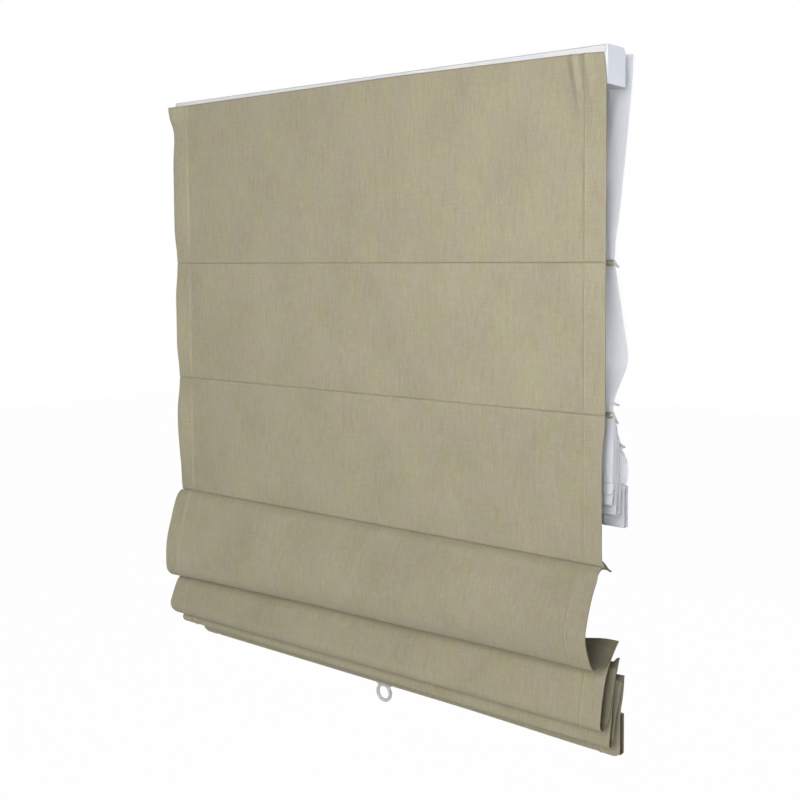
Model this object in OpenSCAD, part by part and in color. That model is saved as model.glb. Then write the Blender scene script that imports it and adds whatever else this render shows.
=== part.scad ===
// Cordless roman blind: a room-side shade and a white liner shade on one headrail.
// +X runs to the right seen from the room, -Y faces the room, +Z is up.
// The origin is the middle of the bracket screws, at the top of the headrail.

/* [Shades] */
// Width of both shades and of the capped headrail
shade_w = 800; // [640:10:1200]
// Thickness of the cloth
cloth_t = 1; // [0.8:0.1:1.2]
// Cloth between two sewn tucks
rod_pitch = 190; // [170:5:220]
// Front cloth from its top edge to its first tuck
first_panel = 257; // [220:1:300]
// Headrail left bare above the front cloth
front_top_gap = 8; // [4:1:10]
// Headrail left bare above the rear cloth
rear_top_gap = 4; // [2:1:8]
// Depth of a sewn tuck behind its cloth
tuck_depth = 18; // [17:0.5:20]
// Room between the front tucks and the rear cloth
shade_gap = 1.6; // [1:0.1:4]
// Seam between two stretches of one cloth
seam_gap = 0.2; // [0.1:0.05:0.3]

/* [Front folds] */
// Each gathered rod behind the rod above it
front_back = [22, 9, 9]; // [6:1:30]
// Each gathered rod below the rod above it
front_down = [115, 24, 19]; // [16:1:130]
// Lowest line of each fold, behind the rod above it
front_low_back = [-23, -22, -14]; // [-30:1:0]
// Lowest line of each fold, below the rod above it
front_low_down = [122, 91, 97]; // [80:1:130]
// How far the first fold swells towards the room
first_swell = 40; // [20:1:44]
// How far the first fold leaves its tuck towards the room
first_lean = 37; // [10:1:40]
// How far each fold falls before it leaves the line of its tuck
fold_fall = [17, 32, 30]; // [10:1:40]
// How far each later fold swells towards the room
fold_swell = [9, 7]; // [4:1:14]
// Roundness of each fold behind its lowest line
fold_round = [20, 16, 12]; // [8:1:24]
// Lean of each fold where it meets the next tuck
fold_meet = [14, 4, 2]; // [1:1:18]
// Rise of each later fold up to the next tuck
fold_rise = [35, 32]; // [20:1:45]
// Bar behind the last gathered rod
front_bar_back = 9; // [8:1:14]
// Bar's top below the last gathered rod
front_bar_down = 48; // [40:1:60]

/* [Rear folds] */
// First rear tuck below the headrail's top
rear_first_down = 262; // [240:1:290]
// Second rear tuck below the first
rear_second_down = 179; // [170:1:200]
// First rear tuck behind the gathered ones
rear_first_back = 2; // [0:0.5:3]
// How far the second rear panel swells towards the window
rear_swell = 5; // [2:0.5:6]
// Each gathered rear rod behind the rod above it
rear_back = [4, 5, 6, 7]; // [4:1:10]
// Each gathered rear rod below the rod above it
rear_down = [14, 14, 15, 15]; // [12:1:20]
// Lowest line of each rear fold below the rod above it
rear_low_down = 101; // [90:1:110]
// Room between two neighbouring layers of the rear folds
rear_lay = 0.8; // [0.6:0.1:0.9]
// Rear bar behind the last gathered rear rod
rear_bar_back = 14; // [12:1:18]
// Rear bar's top below the last gathered rear rod
rear_bar_down = 55; // [45:1:65]

/* [Rods and bars] */
// Diameter of a stiffening rod
rod_d = 4; // [3:0.5:4]
// Rod and bar end set in from the side of the cloth
end_inset = 12; // [6:1:20]
// Play around a rod in its tuck and a bar in its hem
pocket_play = 0.15; // [0.1:0.05:0.2]
// Height of a bottom bar
bar_h = 50; // [40:1:60]
// Thickness of a bottom bar
bar_t = 8; // [6:0.5:10]
// Wall of a bottom bar
bar_wall = 1.2; // [1:0.1:1.6]

/* [Headrail] */
// Depth of the headrail
rail_d = 46; // [44:1:56]
// Height of the headrail
rail_h = 48; // [46:1:56]
// Wall of the headrail
rail_wall = 1.6; // [1.4:0.1:1.8]
// Width of each lip at the open top
rail_lip = 8; // [6:0.5:10]
// Radius of the top corner towards the room
rail_front_r = 3; // [2:0.5:4]
// Radius of the top corner towards the window
rail_rear_r = 8; // [4:0.5:9]
// Flange of an end cap
cap_t = 2.5; // [2:0.1:4]
// Plug of an end cap inside the headrail
cap_plug = 14; // [8:1:20]
// Play around a piece that sits in the headrail
seat_play = 0.15; // [0.1:0.05:0.2]
// Thickness of the hook and loop tape
tape_t = 1.6; // [1.2:0.1:2.4]
// Height of the hook and loop tape
tape_h = 20; // [14:1:22]
// Tape set down below the top edge of its cloth
tape_down = 2; // [1:0.5:4]

/* [Brackets] */
// Bracket screw set in from the side of the shade
screw_inset = 65; // [60:5:120]
// Radius of a bracket screw hole
screw_r = 2.5; // [2:0.25:3]
// Length of a bracket along the headrail
bracket_w = 50; // [30:1:60]
// Thickness of the bracket steel
bracket_t = 1.5; // [1.2:0.1:2]
// Reach of a bracket hook under a lip
hook_reach = 4; // [3:0.5:5]

/* [Lift cords] */
// Distance between the two lift cords of a shade
cord_span = 560; // [480:10:580]
// Diameter of a lift cord
cord_d = 1.4; // [1:0.1:1.6]
// Inner radius of an eyelet or cord bushing
eyelet_r = 2; // [1.8:0.1:2.2]
// Outer radius of an eyelet barrel
barrel_r = 2.9; // [2.8:0.1:3]
// Flange radius of an eyelet
flange_r = 3.9; // [3.6:0.1:4]
// Thickness of an eyelet flange
flange_t = 0.8; // [0.6:0.1:1]
// Eyelet behind the cloth
eyelet_back = 7.4; // [7:0.1:7.6]
// Length of a cord guide along the headrail
guide_w = 22; // [16:1:30]
// Thickness of a cord guide
guide_plate = 2; // [1.6:0.1:2.4]
// Bushing of a cord guide below the headrail
bush_out = 1; // [0.6:0.1:1.4]
// Cord led straight before it bends
cord_lead = 4; // [3:0.5:6]

/* [Spring motors] */
// Distance of each motor from the middle of the headrail
motor_x = 85; // [80:1:110]
// Width of a motor housing
motor_d = 34; // [34:0.5:35]
// Height of a motor housing
motor_h = 20; // [18:0.5:22]
// Wall of a motor housing and its cover
motor_wall = 1.6; // [1.4:0.1:1.8]
// Teeth on each wheel
teeth = 18; // [14:2:18]
// Tooth module
tooth_module = 1.5; // [1.4:0.05:1.5]
// Extra distance between two meshing wheels
mesh_play = 0.2; // [0.1:0.05:0.3]
// Thickness of a toothed rim
rim_t = 4.5; // [4:0.5:5]
// Radius of a wheel post
post_r = 2; // [1.5:0.1:2.5]
// Running play on a wheel post
post_play = 0.06; // [0.04:0.01:0.08]
// End play above and below a wheel
end_play = 0.4; // [0.3:0.05:0.5]
// Radius of a wheel hub, where the cord or spring winds
hub_r = 6; // [5:0.5:6.5]
// Radius of a wheel's top flange
reel_r = 11; // [10:0.5:11.5]
// Thickness of a wheel's top flange
reel_t = 1.2; // [1:0.1:1.6]
// Room between the end wheels and the housing
wheel_room = 1; // [0.6:0.1:2]
// Play between a hub and the cord that winds on it
wind_play = 0.3; // [0.2:0.05:0.4]
// Play between the flat spring and its wheels
spring_play = 0.4; // [0.3:0.05:0.5]
// Coiled depth of the flat spring on the storing wheel
spring_store = 3.6; // [2:0.1:4]
// Coiled depth of the flat spring on the driving wheel
spring_drive = 1.4; // [1:0.1:2]
// Thickness of the flat spring between the wheels
spring_t = 0.5; // [0.4:0.05:0.6]

/* [Pull rings] */
// Radius to the middle of the ring's body
pull_r = 12; // [11:0.5:14]
// Radius of the ring's round body
pull_body_r = 2.7; // [2:0.1:3]
// Width of the tab that holds the ring
tab_w = 27; // [18:1:28]
// Thickness of the tab
tab_t = 3; // [2.4:0.1:3.6]
// Length of the tab inside the bar
tab_in = 10; // [6:1:14]
// Play around the tab
tab_play = 0.2; // [0.15:0.05:0.3]

/* [Hidden] */
$fn = 48;
steps = 12;
front_y = -rail_d / 2 - tape_t - cloth_t / 2;
rear_y = rail_d / 2 + tape_t + cloth_t / 2;
rail_len = shade_w - 2 * cap_t;
screw_span = shade_w - 2 * screw_inset;
inner_d = rail_d - 2 * rail_wall;
floor_z = -rail_h + rail_wall;
pocket_r = rod_d / 2 + pocket_play;
tuck_r = pocket_r + cloth_t;
rod_back = tuck_depth - tuck_r;
cord_bend_d = 1.2 * cord_d;
cord_bend_in = 0.2 * cord_d;
tape_z = -max(front_top_gap, rear_top_gap) - tape_down;

// Roots of the front tucks, as distance towards the window and height.
first_z = -front_top_gap - first_panel;
front_roots = [
    [front_y, first_z],
    [front_y, first_z - rod_pitch],
    for (i = 0, p = [front_y, first_z - 2 * rod_pitch]; i <= 3;
         p = p + (i < 3 ? [front_back[i], -front_down[i]] : [0, 0]), i = i + 1) p
];
front_bar = front_roots[5] + [front_bar_back, -front_bar_down];

// Roots of the rear tucks.
rear_gather_y = front_y + tuck_depth + shade_gap + cloth_t;
rear_first = [rear_gather_y + rear_first_back, -rear_first_down];
rear_roots = [
    rear_first,
    for (i = 0, p = [rear_gather_y, -rear_first_down - rear_second_down]; i <= 4;
         p = p + (i < 4 ? [rear_back[i], -rear_down[i]] : [0, 0]), i = i + 1) p
];
rear_bar = rear_roots[5] + [rear_bar_back, -rear_bar_down];

// Spring motor layout, wheels in a row along the headrail.
pitch_r = teeth * tooth_module / 2;
tip_r = pitch_r + 0.9 * tooth_module;
root_r = pitch_r - 1.2 * tooth_module;
pressure = 20;
base_r = pitch_r * cos(pressure);
tooth_share = 0.44;
wheel_gap = 2 * pitch_r + mesh_play;
motor_w = 3 * wheel_gap + 2 * (tip_r + wheel_room + motor_wall);
wheel_h = motor_h - motor_wall - 2 * end_play;
wheel_z = floor_z + motor_wall + end_play;
spring_z = wheel_z + rim_t + end_play;
spring_h = wheel_h - rim_t - reel_t - 2 * end_play;
cord_z = spring_z + spring_h / 2;
corridor_y = (motor_d / 2 + inner_d / 2) / 2;
wind_y = hub_r + cord_d / 2 + wind_play;

// Cord lines.
rear_guide_y = inner_d / 2 - seat_play - guide_plate - cord_d;
cord_x = cord_span / 2;
front_cord_y = front_y + eyelet_back;
bush_z = -rail_h - bush_out;
bush_y = rail_d / 2 + tape_t + cloth_t;

// Shared helpers

// Carries sections drawn in depth and height along the width.
module along_x(length) {
    for (i = [0 : $children - 1])
        rotate([90, 0, 90]) linear_extrude(length, center = true) children(i);
}

module both_sides(x) {
    for (s = [-1, 1]) translate([s * x, 0, 0]) children();
}

function curve(a, b, c, d) = [
    for (i = [0 : steps]) let (t = i / steps, u = 1 - t)
        u * u * u * a + 3 * u * u * t * b + 3 * u * t * t * c + t * t * t * d
];

function unit(v) = v / norm(v);

function side(path, i) = let (
    n = len(path) - 1,
    d = unit(path[min(i + 1, n)] - path[max(i - 1, 0)])
) [-d[1], d[0]];

// A strip of cloth along a path.
module strip(path) {
    n = len(path) - 1;
    polygon([
        for (i = [0 : n]) path[i] + side(path, i) * cloth_t / 2,
        for (i = [n : -1 : 0]) path[i] - side(path, i) * cloth_t / 2
    ]);
}

// Where cloth that comes up from below ends in front of a tuck.
function rise_end(root) = root + [-cloth_t - seam_gap, cloth_t];

// One loop of cloth: down from a tuck, round its lowest line and up to the next tuck.
function loop(root, out, low, low_front, low_rear, in, end) = concat(
    curve(root, root + out, low - [low_front, 0], low),
    [for (i = [1 : steps]) curve(low, low + [low_rear, 0], end + in, end)[i]]
);

// A sewn tuck: two layers stitched flat, with a round pocket at the tip.
module tuck(root) {
    translate(root) difference() {
        union() {
            translate([-cloth_t / 2, -cloth_t]) square([rod_back + cloth_t / 2, 2 * cloth_t]);
            translate([rod_back, 0]) circle(tuck_r);
        }
        translate([rod_back, 0]) circle(pocket_r);
    }
}

// Holes through a cloth where the eyelets of a tuck sit.
module eyelet_holes(root) {
    both_sides(cord_x) translate([0, root[0] + eyelet_back, root[1]])
        cylinder(r = barrel_r + seam_gap, h = 4 * cloth_t, center = true);
}

module eyelet() {
    difference() {
        union() {
            cylinder(r = barrel_r, h = 2 * cloth_t, center = true);
            for (s = [-1, 1]) translate([0, 0, s * (cloth_t + flange_t / 2)])
                cylinder(r = flange_r, h = flange_t, center = true);
        }
        cylinder(r = eyelet_r, h = 6 * cloth_t, center = true);
    }
}

module eyelets(roots) {
    color("whitesmoke") for (r = roots) both_sides(cord_x)
        translate([0, r[0] + eyelet_back, r[1]]) eyelet();
}

module rods(roots) {
    color("white") for (r = roots) translate([0, r[0] + rod_back, r[1]])
        rotate([0, 90, 0]) cylinder(d = rod_d, h = shade_w - 2 * end_inset, center = true);
}

// Hem pocket round a bottom bar whose top middle is given.
module hem(bar) {
    room = pocket_play + cloth_t;
    translate(bar + [-bar_t / 2 - room, -bar_h - room]) difference() {
        square([bar_t + 2 * room, bar_h + 2 * room]);
        translate([cloth_t, cloth_t])
            square([bar_t + 2 * pocket_play, bar_h + 2 * pocket_play]);
    }
}

// Cut in a hem for the pull tab below and the lift cords above.
module hem_cuts(bar) {
    reach = pocket_play + 2 * cloth_t;
    translate([0, bar[0], bar[1] - bar_h])
        cube([tab_w + 2 * tab_play, tab_t + 2 * tab_play, 2 * reach], center = true);
    both_sides(cord_x) translate([0, bar[0], bar[1]])
        cylinder(r = eyelet_r, h = 2 * reach, center = true);
}

module bottom_bar(bar) {
    color("gainsboro") difference() {
        along_x(shade_w - 2 * end_inset) translate(bar + [-bar_t / 2, -bar_h]) difference() {
            square([bar_t, bar_h]);
            translate([bar_wall, bar_wall])
                square([bar_t - 2 * bar_wall, bar_h - 2 * bar_wall]);
        }
        hem_cuts(bar);
    }
}

module pull_ring(bar) {
    foot = bar[1] - bar_h - pocket_play - cloth_t;
    color("lightgray") translate([0, bar[0], foot]) {
        translate([0, 0, -pull_r - pull_body_r]) rotate([90, 0, 0])
            rotate_extrude() translate([pull_r, 0]) circle(pull_body_r);
        translate([-tab_w / 2, -tab_t / 2, -pull_body_r * 1.2])
            cube([tab_w, tab_t, pull_body_r * 1.2 + cloth_t + tab_in]);
    }
}

// A cord along a line of points.
module cord(points) {
    last = len(points) - 1;
    for (i = [0 : last - 1]) {
        d = points[i + 1] - points[i];
        from = i == 0 ? 0 : cord_bend_in;
        to = i == last - 1 ? 0 : cord_bend_in;
        translate(points[i] + from * d / norm(d))
            rotate([0, acos(d[2] / norm(d)), atan2(d[1], d[0])])
                cylinder(d = cord_d, h = norm(d) - from - to);
    }
    for (i = [1 : last - 1]) translate(points[i]) sphere(d = cord_bend_d);
}

// Headrail

module rail_outline(d, h, r_front, r_rear) {
    difference() {
        translate([-d / 2, -h]) square([d, h]);
        translate([-d / 2, -r_front]) square(r_front);
        translate([d / 2 - r_rear, -r_rear]) square(r_rear);
    }
    translate([-d / 2 + r_front, -r_front]) circle(r_front);
    translate([d / 2 - r_rear, -r_rear]) circle(r_rear);
}

module rail_inside(play) {
    translate([0, -rail_wall - play]) rail_outline(
        inner_d - 2 * play, rail_h - 2 * rail_wall - 2 * play,
        rail_front_r - rail_wall, rail_rear_r - rail_wall
    );
}

module headrail() {
    color("white") difference() {
        along_x(rail_len) difference() {
            rail_outline(rail_d, rail_h, rail_front_r, rail_rear_r);
            rail_inside(0);
            translate([-inner_d / 2 + rail_lip, -2 * rail_wall])
                square([inner_d - 2 * rail_lip, 3 * rail_wall]);
        }
        both_sides(cord_x) {
            translate([0, front_cord_y, -rail_h])
                cylinder(r = barrel_r + seat_play, h = 4 * rail_wall, center = true);
            translate([0, rail_d / 2, cord_z]) rotate([90, 0, 0])
                cylinder(r = barrel_r + seat_play, h = 4 * rail_wall, center = true);
        }
    }
}

module end_cap(s) {
    color("white") translate([s * (rail_len / 2 + cap_t / 2), 0, 0]) {
        along_x(cap_t) rail_outline(rail_d, rail_h, rail_front_r, rail_rear_r);
        translate([-s * (cap_t + cap_plug) / 2, 0, 0]) along_x(cap_plug) difference() {
            rail_inside(seat_play);
            translate([0, -rail_wall]) rail_inside(2 * rail_wall);
        }
    }
}

// Height of a lip's underside, which falls away into the round corner.
function lip_under(y) = let (
    r = rail_rear_r - rail_wall,
    into = max(0, y - inner_d / 2 + r)
) -rail_wall - r + sqrt(r * r - into * into);

// Spring steel clip: its plate lies flush between the lips, its hooks reach under them.
module mounting_brackets() {
    plate = inner_d - 2 * rail_lip - 2 * seat_play;
    under = lip_under(plate / 2 + hook_reach) - seat_play - bracket_t;
    color("silver") both_sides(screw_span / 2) difference() {
        along_x(bracket_w) {
            translate([-plate / 2, -bracket_t]) square([plate, bracket_t]);
            for (s = [-1, 1]) {
                translate([s * (plate - bracket_t) / 2 - bracket_t / 2, under])
                    square([bracket_t, -under]);
                translate([s * (plate + hook_reach) / 2 - hook_reach / 2, under])
                    square([hook_reach, bracket_t]);
            }
        }
        cylinder(r = screw_r, h = 4 * bracket_t, center = true);
    }
}

module hook_tape(s) {
    color("white") along_x(rail_len)
        translate([s * (rail_d + tape_t) / 2 - tape_t / 2, tape_z - tape_h])
            square([tape_t, tape_h]);
}

// Moulded guide with one bushing down through the floor and one out through the back.
module cord_guides() {
    plate = guide_plate;
    back = inner_d / 2 - seat_play;
    color("ivory") both_sides(cord_x) difference() {
        union() {
            translate([-guide_w / 2, -back, floor_z]) cube([guide_w, 2 * back, plate]);
            translate([-guide_w / 2, back - plate, floor_z])
                cube([guide_w, plate, cord_z - floor_z + flange_r + plate]);
            translate([0, front_cord_y, bush_z])
                cylinder(r = barrel_r, h = floor_z + plate - bush_z);
            translate([0, rail_d / 2 + tape_t / 2, cord_z]) rotate([90, 0, 0])
                cylinder(r = barrel_r, h = rail_wall + tape_t / 2 + plate);
        }
        translate([0, front_cord_y, bush_z]) cylinder(r = eyelet_r, h = rail_h, center = true);
        translate([0, rail_d / 2, cord_z]) rotate([90, 0, 0])
            cylinder(r = eyelet_r, h = 8 * rail_wall, center = true);
    }
}

// Spring motors. The side is -1 for the front shade and 1 for the rear shade.

function wheel_x(side, i) = side * motor_x + (i - 1.5) * wheel_gap;

module motor_housing(side) {
    color("dimgray") difference() {
        translate([side * motor_x, 0, floor_z]) {
            translate([-motor_w / 2, -motor_d / 2, 0]) difference() {
                cube([motor_w, motor_d, motor_h]);
                translate([motor_wall, motor_wall, motor_wall])
                    cube([motor_w - 2 * motor_wall, motor_d - 2 * motor_wall, motor_h]);
            }
            for (i = [0 : 3]) translate([(i - 1.5) * wheel_gap, 0, 0])
                cylinder(r = post_r, h = motor_h);
        }
        translate([side * motor_x, side * wind_y, cord_z]) rotate([0, 90, 0])
            cylinder(r = eyelet_r, h = 2 * motor_w, center = true);
    }
}

module motor_cover(side) {
    color("gray") translate([side * motor_x - motor_w / 2, -motor_d / 2, floor_z + motor_h])
        cube([motor_w, motor_d, motor_wall]);
}

function roll(a) = base_r * [cos(a) + a * PI / 180 * sin(a), sin(a) - a * PI / 180 * cos(a)];

function spin(p, a) = [p[0] * cos(a) - p[1] * sin(a), p[0] * sin(a) + p[1] * cos(a)];

// A toothed wheel with involute flanks.
module toothed(turn) {
    step = 360 / teeth;
    tip_roll = 180 / PI * sqrt(pow(tip_r / base_r, 2) - 1);
    half = step * tooth_share / 2 + 180 / PI * tan(pressure) - pressure;
    flank = [[root_r, 0], for (k = [0 : 2]) roll(tip_roll * k / 2)];
    polygon([
        for (i = [0 : teeth - 1]) each [
            for (k = [0 : 3]) spin(flank[k], turn + i * step - half),
            for (k = [3 : -1 : 0]) spin([flank[k][0], -flank[k][1]], turn + i * step + half)
        ]
    ]);
}

// One wheel of a motor: toothed rim, hub and top flange on a post.
module motor_wheel(side, i) {
    color("beige") translate([wheel_x(side, i), 0, wheel_z]) difference() {
        union() {
            linear_extrude(rim_t) toothed(i % 2 * 180 / teeth);
            cylinder(r = hub_r, h = wheel_h);
            translate([0, 0, wheel_h - reel_t]) cylinder(r = reel_r, h = reel_t);
        }
        cylinder(r = post_r + post_play, h = 3 * wheel_h, center = true);
    }
}

// Flat spring: its turns on both wheels and the stretch between them.
module motor_spring(side) {
    inner = hub_r + spring_play;
    depths = [spring_drive, spring_store];
    color("lightsteelblue") translate([side * motor_x, 0, spring_z]) difference() {
        union() {
            for (k = [0, 1]) translate([(k - 0.5) * wheel_gap, 0, 0])
                cylinder(r = inner + depths[k], h = spring_h);
            linear_extrude(spring_h) polygon([
                [-wheel_gap / 2, inner + depths[0]],
                [wheel_gap / 2, inner + depths[1]],
                [wheel_gap / 2, inner + depths[1] - spring_t],
                [-wheel_gap / 2, inner + depths[0] - spring_t]
            ]);
        }
        for (k = [0, 1]) translate([(k - 0.5) * wheel_gap, 0, 0])
            cylinder(r = inner, h = 3 * spring_h, center = true);
    }
}

// Front shade

module front_face_cloth() {
    top = [front_y, -front_top_gap];
    color("darkkhaki") difference() {
        along_x(shade_w) {
            strip([top, front_roots[0]]);
            strip([front_roots[0], front_roots[1]]);
            tuck(front_roots[0]);
            tuck(front_roots[1]);
        }
        eyelet_holes(front_roots[0]);
        eyelet_holes(front_roots[1]);
    }
}

module front_lower_panel() {
    color("darkkhaki") along_x(shade_w) strip([
        front_roots[1] - [0, cloth_t + seam_gap],
        front_roots[2] + [0, cloth_t + seam_gap]
    ]);
}

// A gathered fold with the tuck that it hangs from.
module front_fold(k, path) {
    root = front_roots[k + 2];
    color("darkkhaki") difference() {
        along_x(shade_w) {
            tuck(root);
            strip(path);
        }
        eyelet_holes(root);
    }
}

function front_low(k) = front_roots[k + 2] + [front_low_back[k], -front_low_down[k]];

module front_fold_1() {
    end = front_roots[3] - [cloth_t / 2 + seam_gap, 0];
    front_fold(0, loop(front_roots[2], [-first_lean, -fold_fall[0]], front_low(0),
                       first_swell, fold_round[0], [-fold_meet[0], 0], end));
}

// A fold below the first one, which comes up to its next tuck from below.
module later_fold(k) {
    front_fold(k, loop(front_roots[k + 2], [0, -fold_fall[k]], front_low(k),
                       fold_swell[k - 1], fold_round[k],
                       [-fold_meet[k], -fold_rise[k - 1]], rise_end(front_roots[k + 3])));
}

module front_fold_2() {
    later_fold(1);
}

module front_fold_3() {
    later_fold(2);
}

// The last panel, from its tuck to the pocket of the bottom bar.
module hem_cloth(root, start, bar) {
    join = bar + [-bar_t / 2 - pocket_play - cloth_t / 2, 0];
    lead = [0, (root[1] - bar[1]) / 3];
    along_x(shade_w) {
        strip(curve(start, start - lead, join + lead, join));
        tuck(root);
        hem(bar);
    }
}

module front_hem_cloth() {
    color("darkkhaki") difference() {
        hem_cloth(front_roots[5], front_roots[5], front_bar);
        eyelet_holes(front_roots[5]);
        hem_cuts(front_bar);
    }
}

module lift_cords(side, route) {
    out = [for (s = [-1, 1]) side * motor_x + s * motor_w / 2];
    wheel = [wheel_x(side, 0), wheel_x(side, 3)];
    color("white") for (k = [0, 1]) {
        s = 2 * k - 1;
        near = s * side > 0;
        // The cord of the far end runs beside the other motor.
        beside = [for (x = near ? [] : [-1, 1])
            [s * (motor_x + x * (motor_w / 2 + cord_lead)), side * corridor_y, cord_z]];
        cord(concat(
            [[wheel[k], side * wind_y, cord_z], [out[k] + s * cord_lead / 2, side * wind_y, cord_z]],
            beside,
            [for (p = route) [s * cord_x, p[0], p[1]]]
        ));
    }
}

module front_lift_cords() {
    lift_cords(-1, concat(
        [[front_cord_y, cord_z]],
        [for (r = front_roots) r + [eyelet_back, 0]],
        [front_bar - [0, 2 * bar_wall]]
    ));
}

// Rear shade

module rear_hanging_cloth() {
    first = rear_roots[0];
    second = rear_roots[1] + [0, cloth_t + seam_gap];
    heading = [rear_y, -rail_h + 2 * flange_r - barrel_r];
    drop = [rear_swell, (second[1] - first[1]) / 3];
    color("white") difference() {
        along_x(shade_w) {
            strip([[rear_y, -rear_top_gap], heading]);
            strip([heading, first]);
            tuck(first);
            strip(curve(first, first + drop, second + [drop[0], -drop[1]], second));
        }
        eyelet_holes(first);
        both_sides(cord_x) translate([0, rear_y, cord_z]) rotate([90, 0, 0])
            cylinder(r = barrel_r + seam_gap, h = 3 * cloth_t, center = true);
    }
}

// A loop of the liner hangs straight, with a round lowest line.
function rear_loop(k) = let (
    root = rear_roots[k] + [rear_lay, 0],
    end = rear_roots[k + 1] + [-cloth_t, cloth_t],
    r = (end[0] - root[0]) / 2,
    low = root + [r, r - rear_low_down]
) concat([root], [for (i = [0 : steps]) low - r * [cos(180 * i / steps), sin(180 * i / steps)]],
         [end]);

module rear_gathered_cloth() {
    color("white") difference() {
        union() {
            for (k = [1 : 4]) along_x(shade_w) {
                tuck(rear_roots[k]);
                strip(rear_loop(k));
            }
            hem_cloth(rear_roots[5], rear_roots[5] + [rear_lay, 0], rear_bar);
        }
        for (k = [1 : 5]) eyelet_holes(rear_roots[k]);
        hem_cuts(rear_bar);
    }
}

module rear_heading_eyelets() {
    color("whitesmoke") both_sides(cord_x) translate([0, rear_y - cloth_t / 2, cord_z])
        rotate([-90, 0, 0]) difference() {
            union() {
                cylinder(r = barrel_r, h = cloth_t);
                translate([0, 0, cloth_t]) cylinder(r = flange_r, h = flange_t);
            }
            cylinder(r = eyelet_r, h = 6 * cloth_t, center = true);
        }
}

module rear_lift_cords() {
    out_y = bush_y + flange_t + 1.5 * cord_d;
    lift_cords(1, concat(
        [[rear_guide_y, cord_z], [out_y, cord_z]],
        [for (r = rear_roots) r + [eyelet_back, 0]],
        [rear_bar - [0, 2 * bar_wall]]
    ));
}

headrail();
end_cap(-1);  // end_cap_left
end_cap(1);  // end_cap_right
mounting_brackets();
hook_tape(-1);  // front_hook_tape
hook_tape(1);  // rear_hook_tape
cord_guides();
motor_housing(-1);  // front_motor_housing
motor_cover(-1);  // front_motor_cover
motor_spring(-1);  // front_motor_spring
motor_wheel(-1, 0);  // front_spool_left
motor_wheel(-1, 1);  // front_drive_wheel
motor_wheel(-1, 2);  // front_storage_wheel
motor_wheel(-1, 3);  // front_spool_right
motor_housing(1);  // rear_motor_housing
motor_cover(1);  // rear_motor_cover
motor_spring(1);  // rear_motor_spring
motor_wheel(1, 0);  // rear_spool_left
motor_wheel(1, 1);  // rear_drive_wheel
motor_wheel(1, 2);  // rear_storage_wheel
motor_wheel(1, 3);  // rear_spool_right
front_face_cloth();
front_lower_panel();
front_fold_1();
front_fold_2();
front_fold_3();
front_hem_cloth();
rods([front_roots[0], front_roots[1]]);  // front_upper_rods
rods([front_roots[2]]);  // front_rod_3
rods([front_roots[3]]);  // front_rod_4
rods([front_roots[4]]);  // front_rod_5
rods([front_roots[5]]);  // front_rod_6
eyelets([front_roots[0], front_roots[1]]);  // front_upper_eyelets
eyelets([front_roots[2]]);  // front_eyelets_3
eyelets([front_roots[3]]);  // front_eyelets_4
eyelets([front_roots[4]]);  // front_eyelets_5
eyelets([front_roots[5]]);  // front_eyelets_6
bottom_bar(front_bar);  // front_bottom_bar
pull_ring(front_bar);  // front_pull_ring
front_lift_cords();
rear_hanging_cloth();
rear_gathered_cloth();
rods([rear_roots[0]]);  // rear_rod_1
rods([for (k = [1 : 5]) rear_roots[k]]);  // rear_gathered_rods
rear_heading_eyelets();
eyelets([rear_roots[0]]);  // rear_eyelets_1
eyelets([for (k = [1 : 5]) rear_roots[k]]);  // rear_gathered_eyelets
bottom_bar(rear_bar);  // rear_bottom_bar
pull_ring(rear_bar);  // rear_pull_ring
rear_lift_cords();
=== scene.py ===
"""Looks of a cordless double roman blind, laid out as an add-on and run as a script."""

import math

import bmesh
import bpy
import numpy as np
from bpy.props import FloatProperty, FloatVectorProperty, PointerProperty
from bpy.types import Operator, Panel, PropertyGroup
from mathutils import Matrix, Vector


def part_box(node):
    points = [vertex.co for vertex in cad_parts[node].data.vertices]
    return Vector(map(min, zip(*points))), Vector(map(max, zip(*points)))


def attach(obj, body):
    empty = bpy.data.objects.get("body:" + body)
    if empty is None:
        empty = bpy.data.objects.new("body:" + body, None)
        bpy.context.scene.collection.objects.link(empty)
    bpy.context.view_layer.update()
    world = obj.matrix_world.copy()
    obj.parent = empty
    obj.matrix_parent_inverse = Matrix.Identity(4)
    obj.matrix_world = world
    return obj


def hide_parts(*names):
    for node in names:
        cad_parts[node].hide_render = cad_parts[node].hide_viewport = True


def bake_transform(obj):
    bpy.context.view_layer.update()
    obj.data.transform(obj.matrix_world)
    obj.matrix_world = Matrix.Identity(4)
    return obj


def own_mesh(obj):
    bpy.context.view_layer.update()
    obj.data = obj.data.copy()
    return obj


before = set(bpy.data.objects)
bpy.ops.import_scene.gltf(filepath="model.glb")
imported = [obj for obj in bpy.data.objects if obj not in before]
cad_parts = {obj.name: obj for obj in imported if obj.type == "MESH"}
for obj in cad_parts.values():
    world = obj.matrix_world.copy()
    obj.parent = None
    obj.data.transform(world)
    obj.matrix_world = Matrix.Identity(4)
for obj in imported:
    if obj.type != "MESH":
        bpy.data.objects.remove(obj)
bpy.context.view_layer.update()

bl_info = {
    "name": "Cordless double roman blind",
    "version": (1, 0, 0),
    "blender": (4, 5, 0),
    "location": "3D View > Sidebar > Blind",
    "description": "Cloth, cords, finishes and studio stage of a double roman blind",
    "category": "Object",
}

MM = 0.001
ROOT = "headrail_and_face"

# Sides of the cloth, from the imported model.
HALF_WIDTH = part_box("front_face_cloth")[1].x

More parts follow.
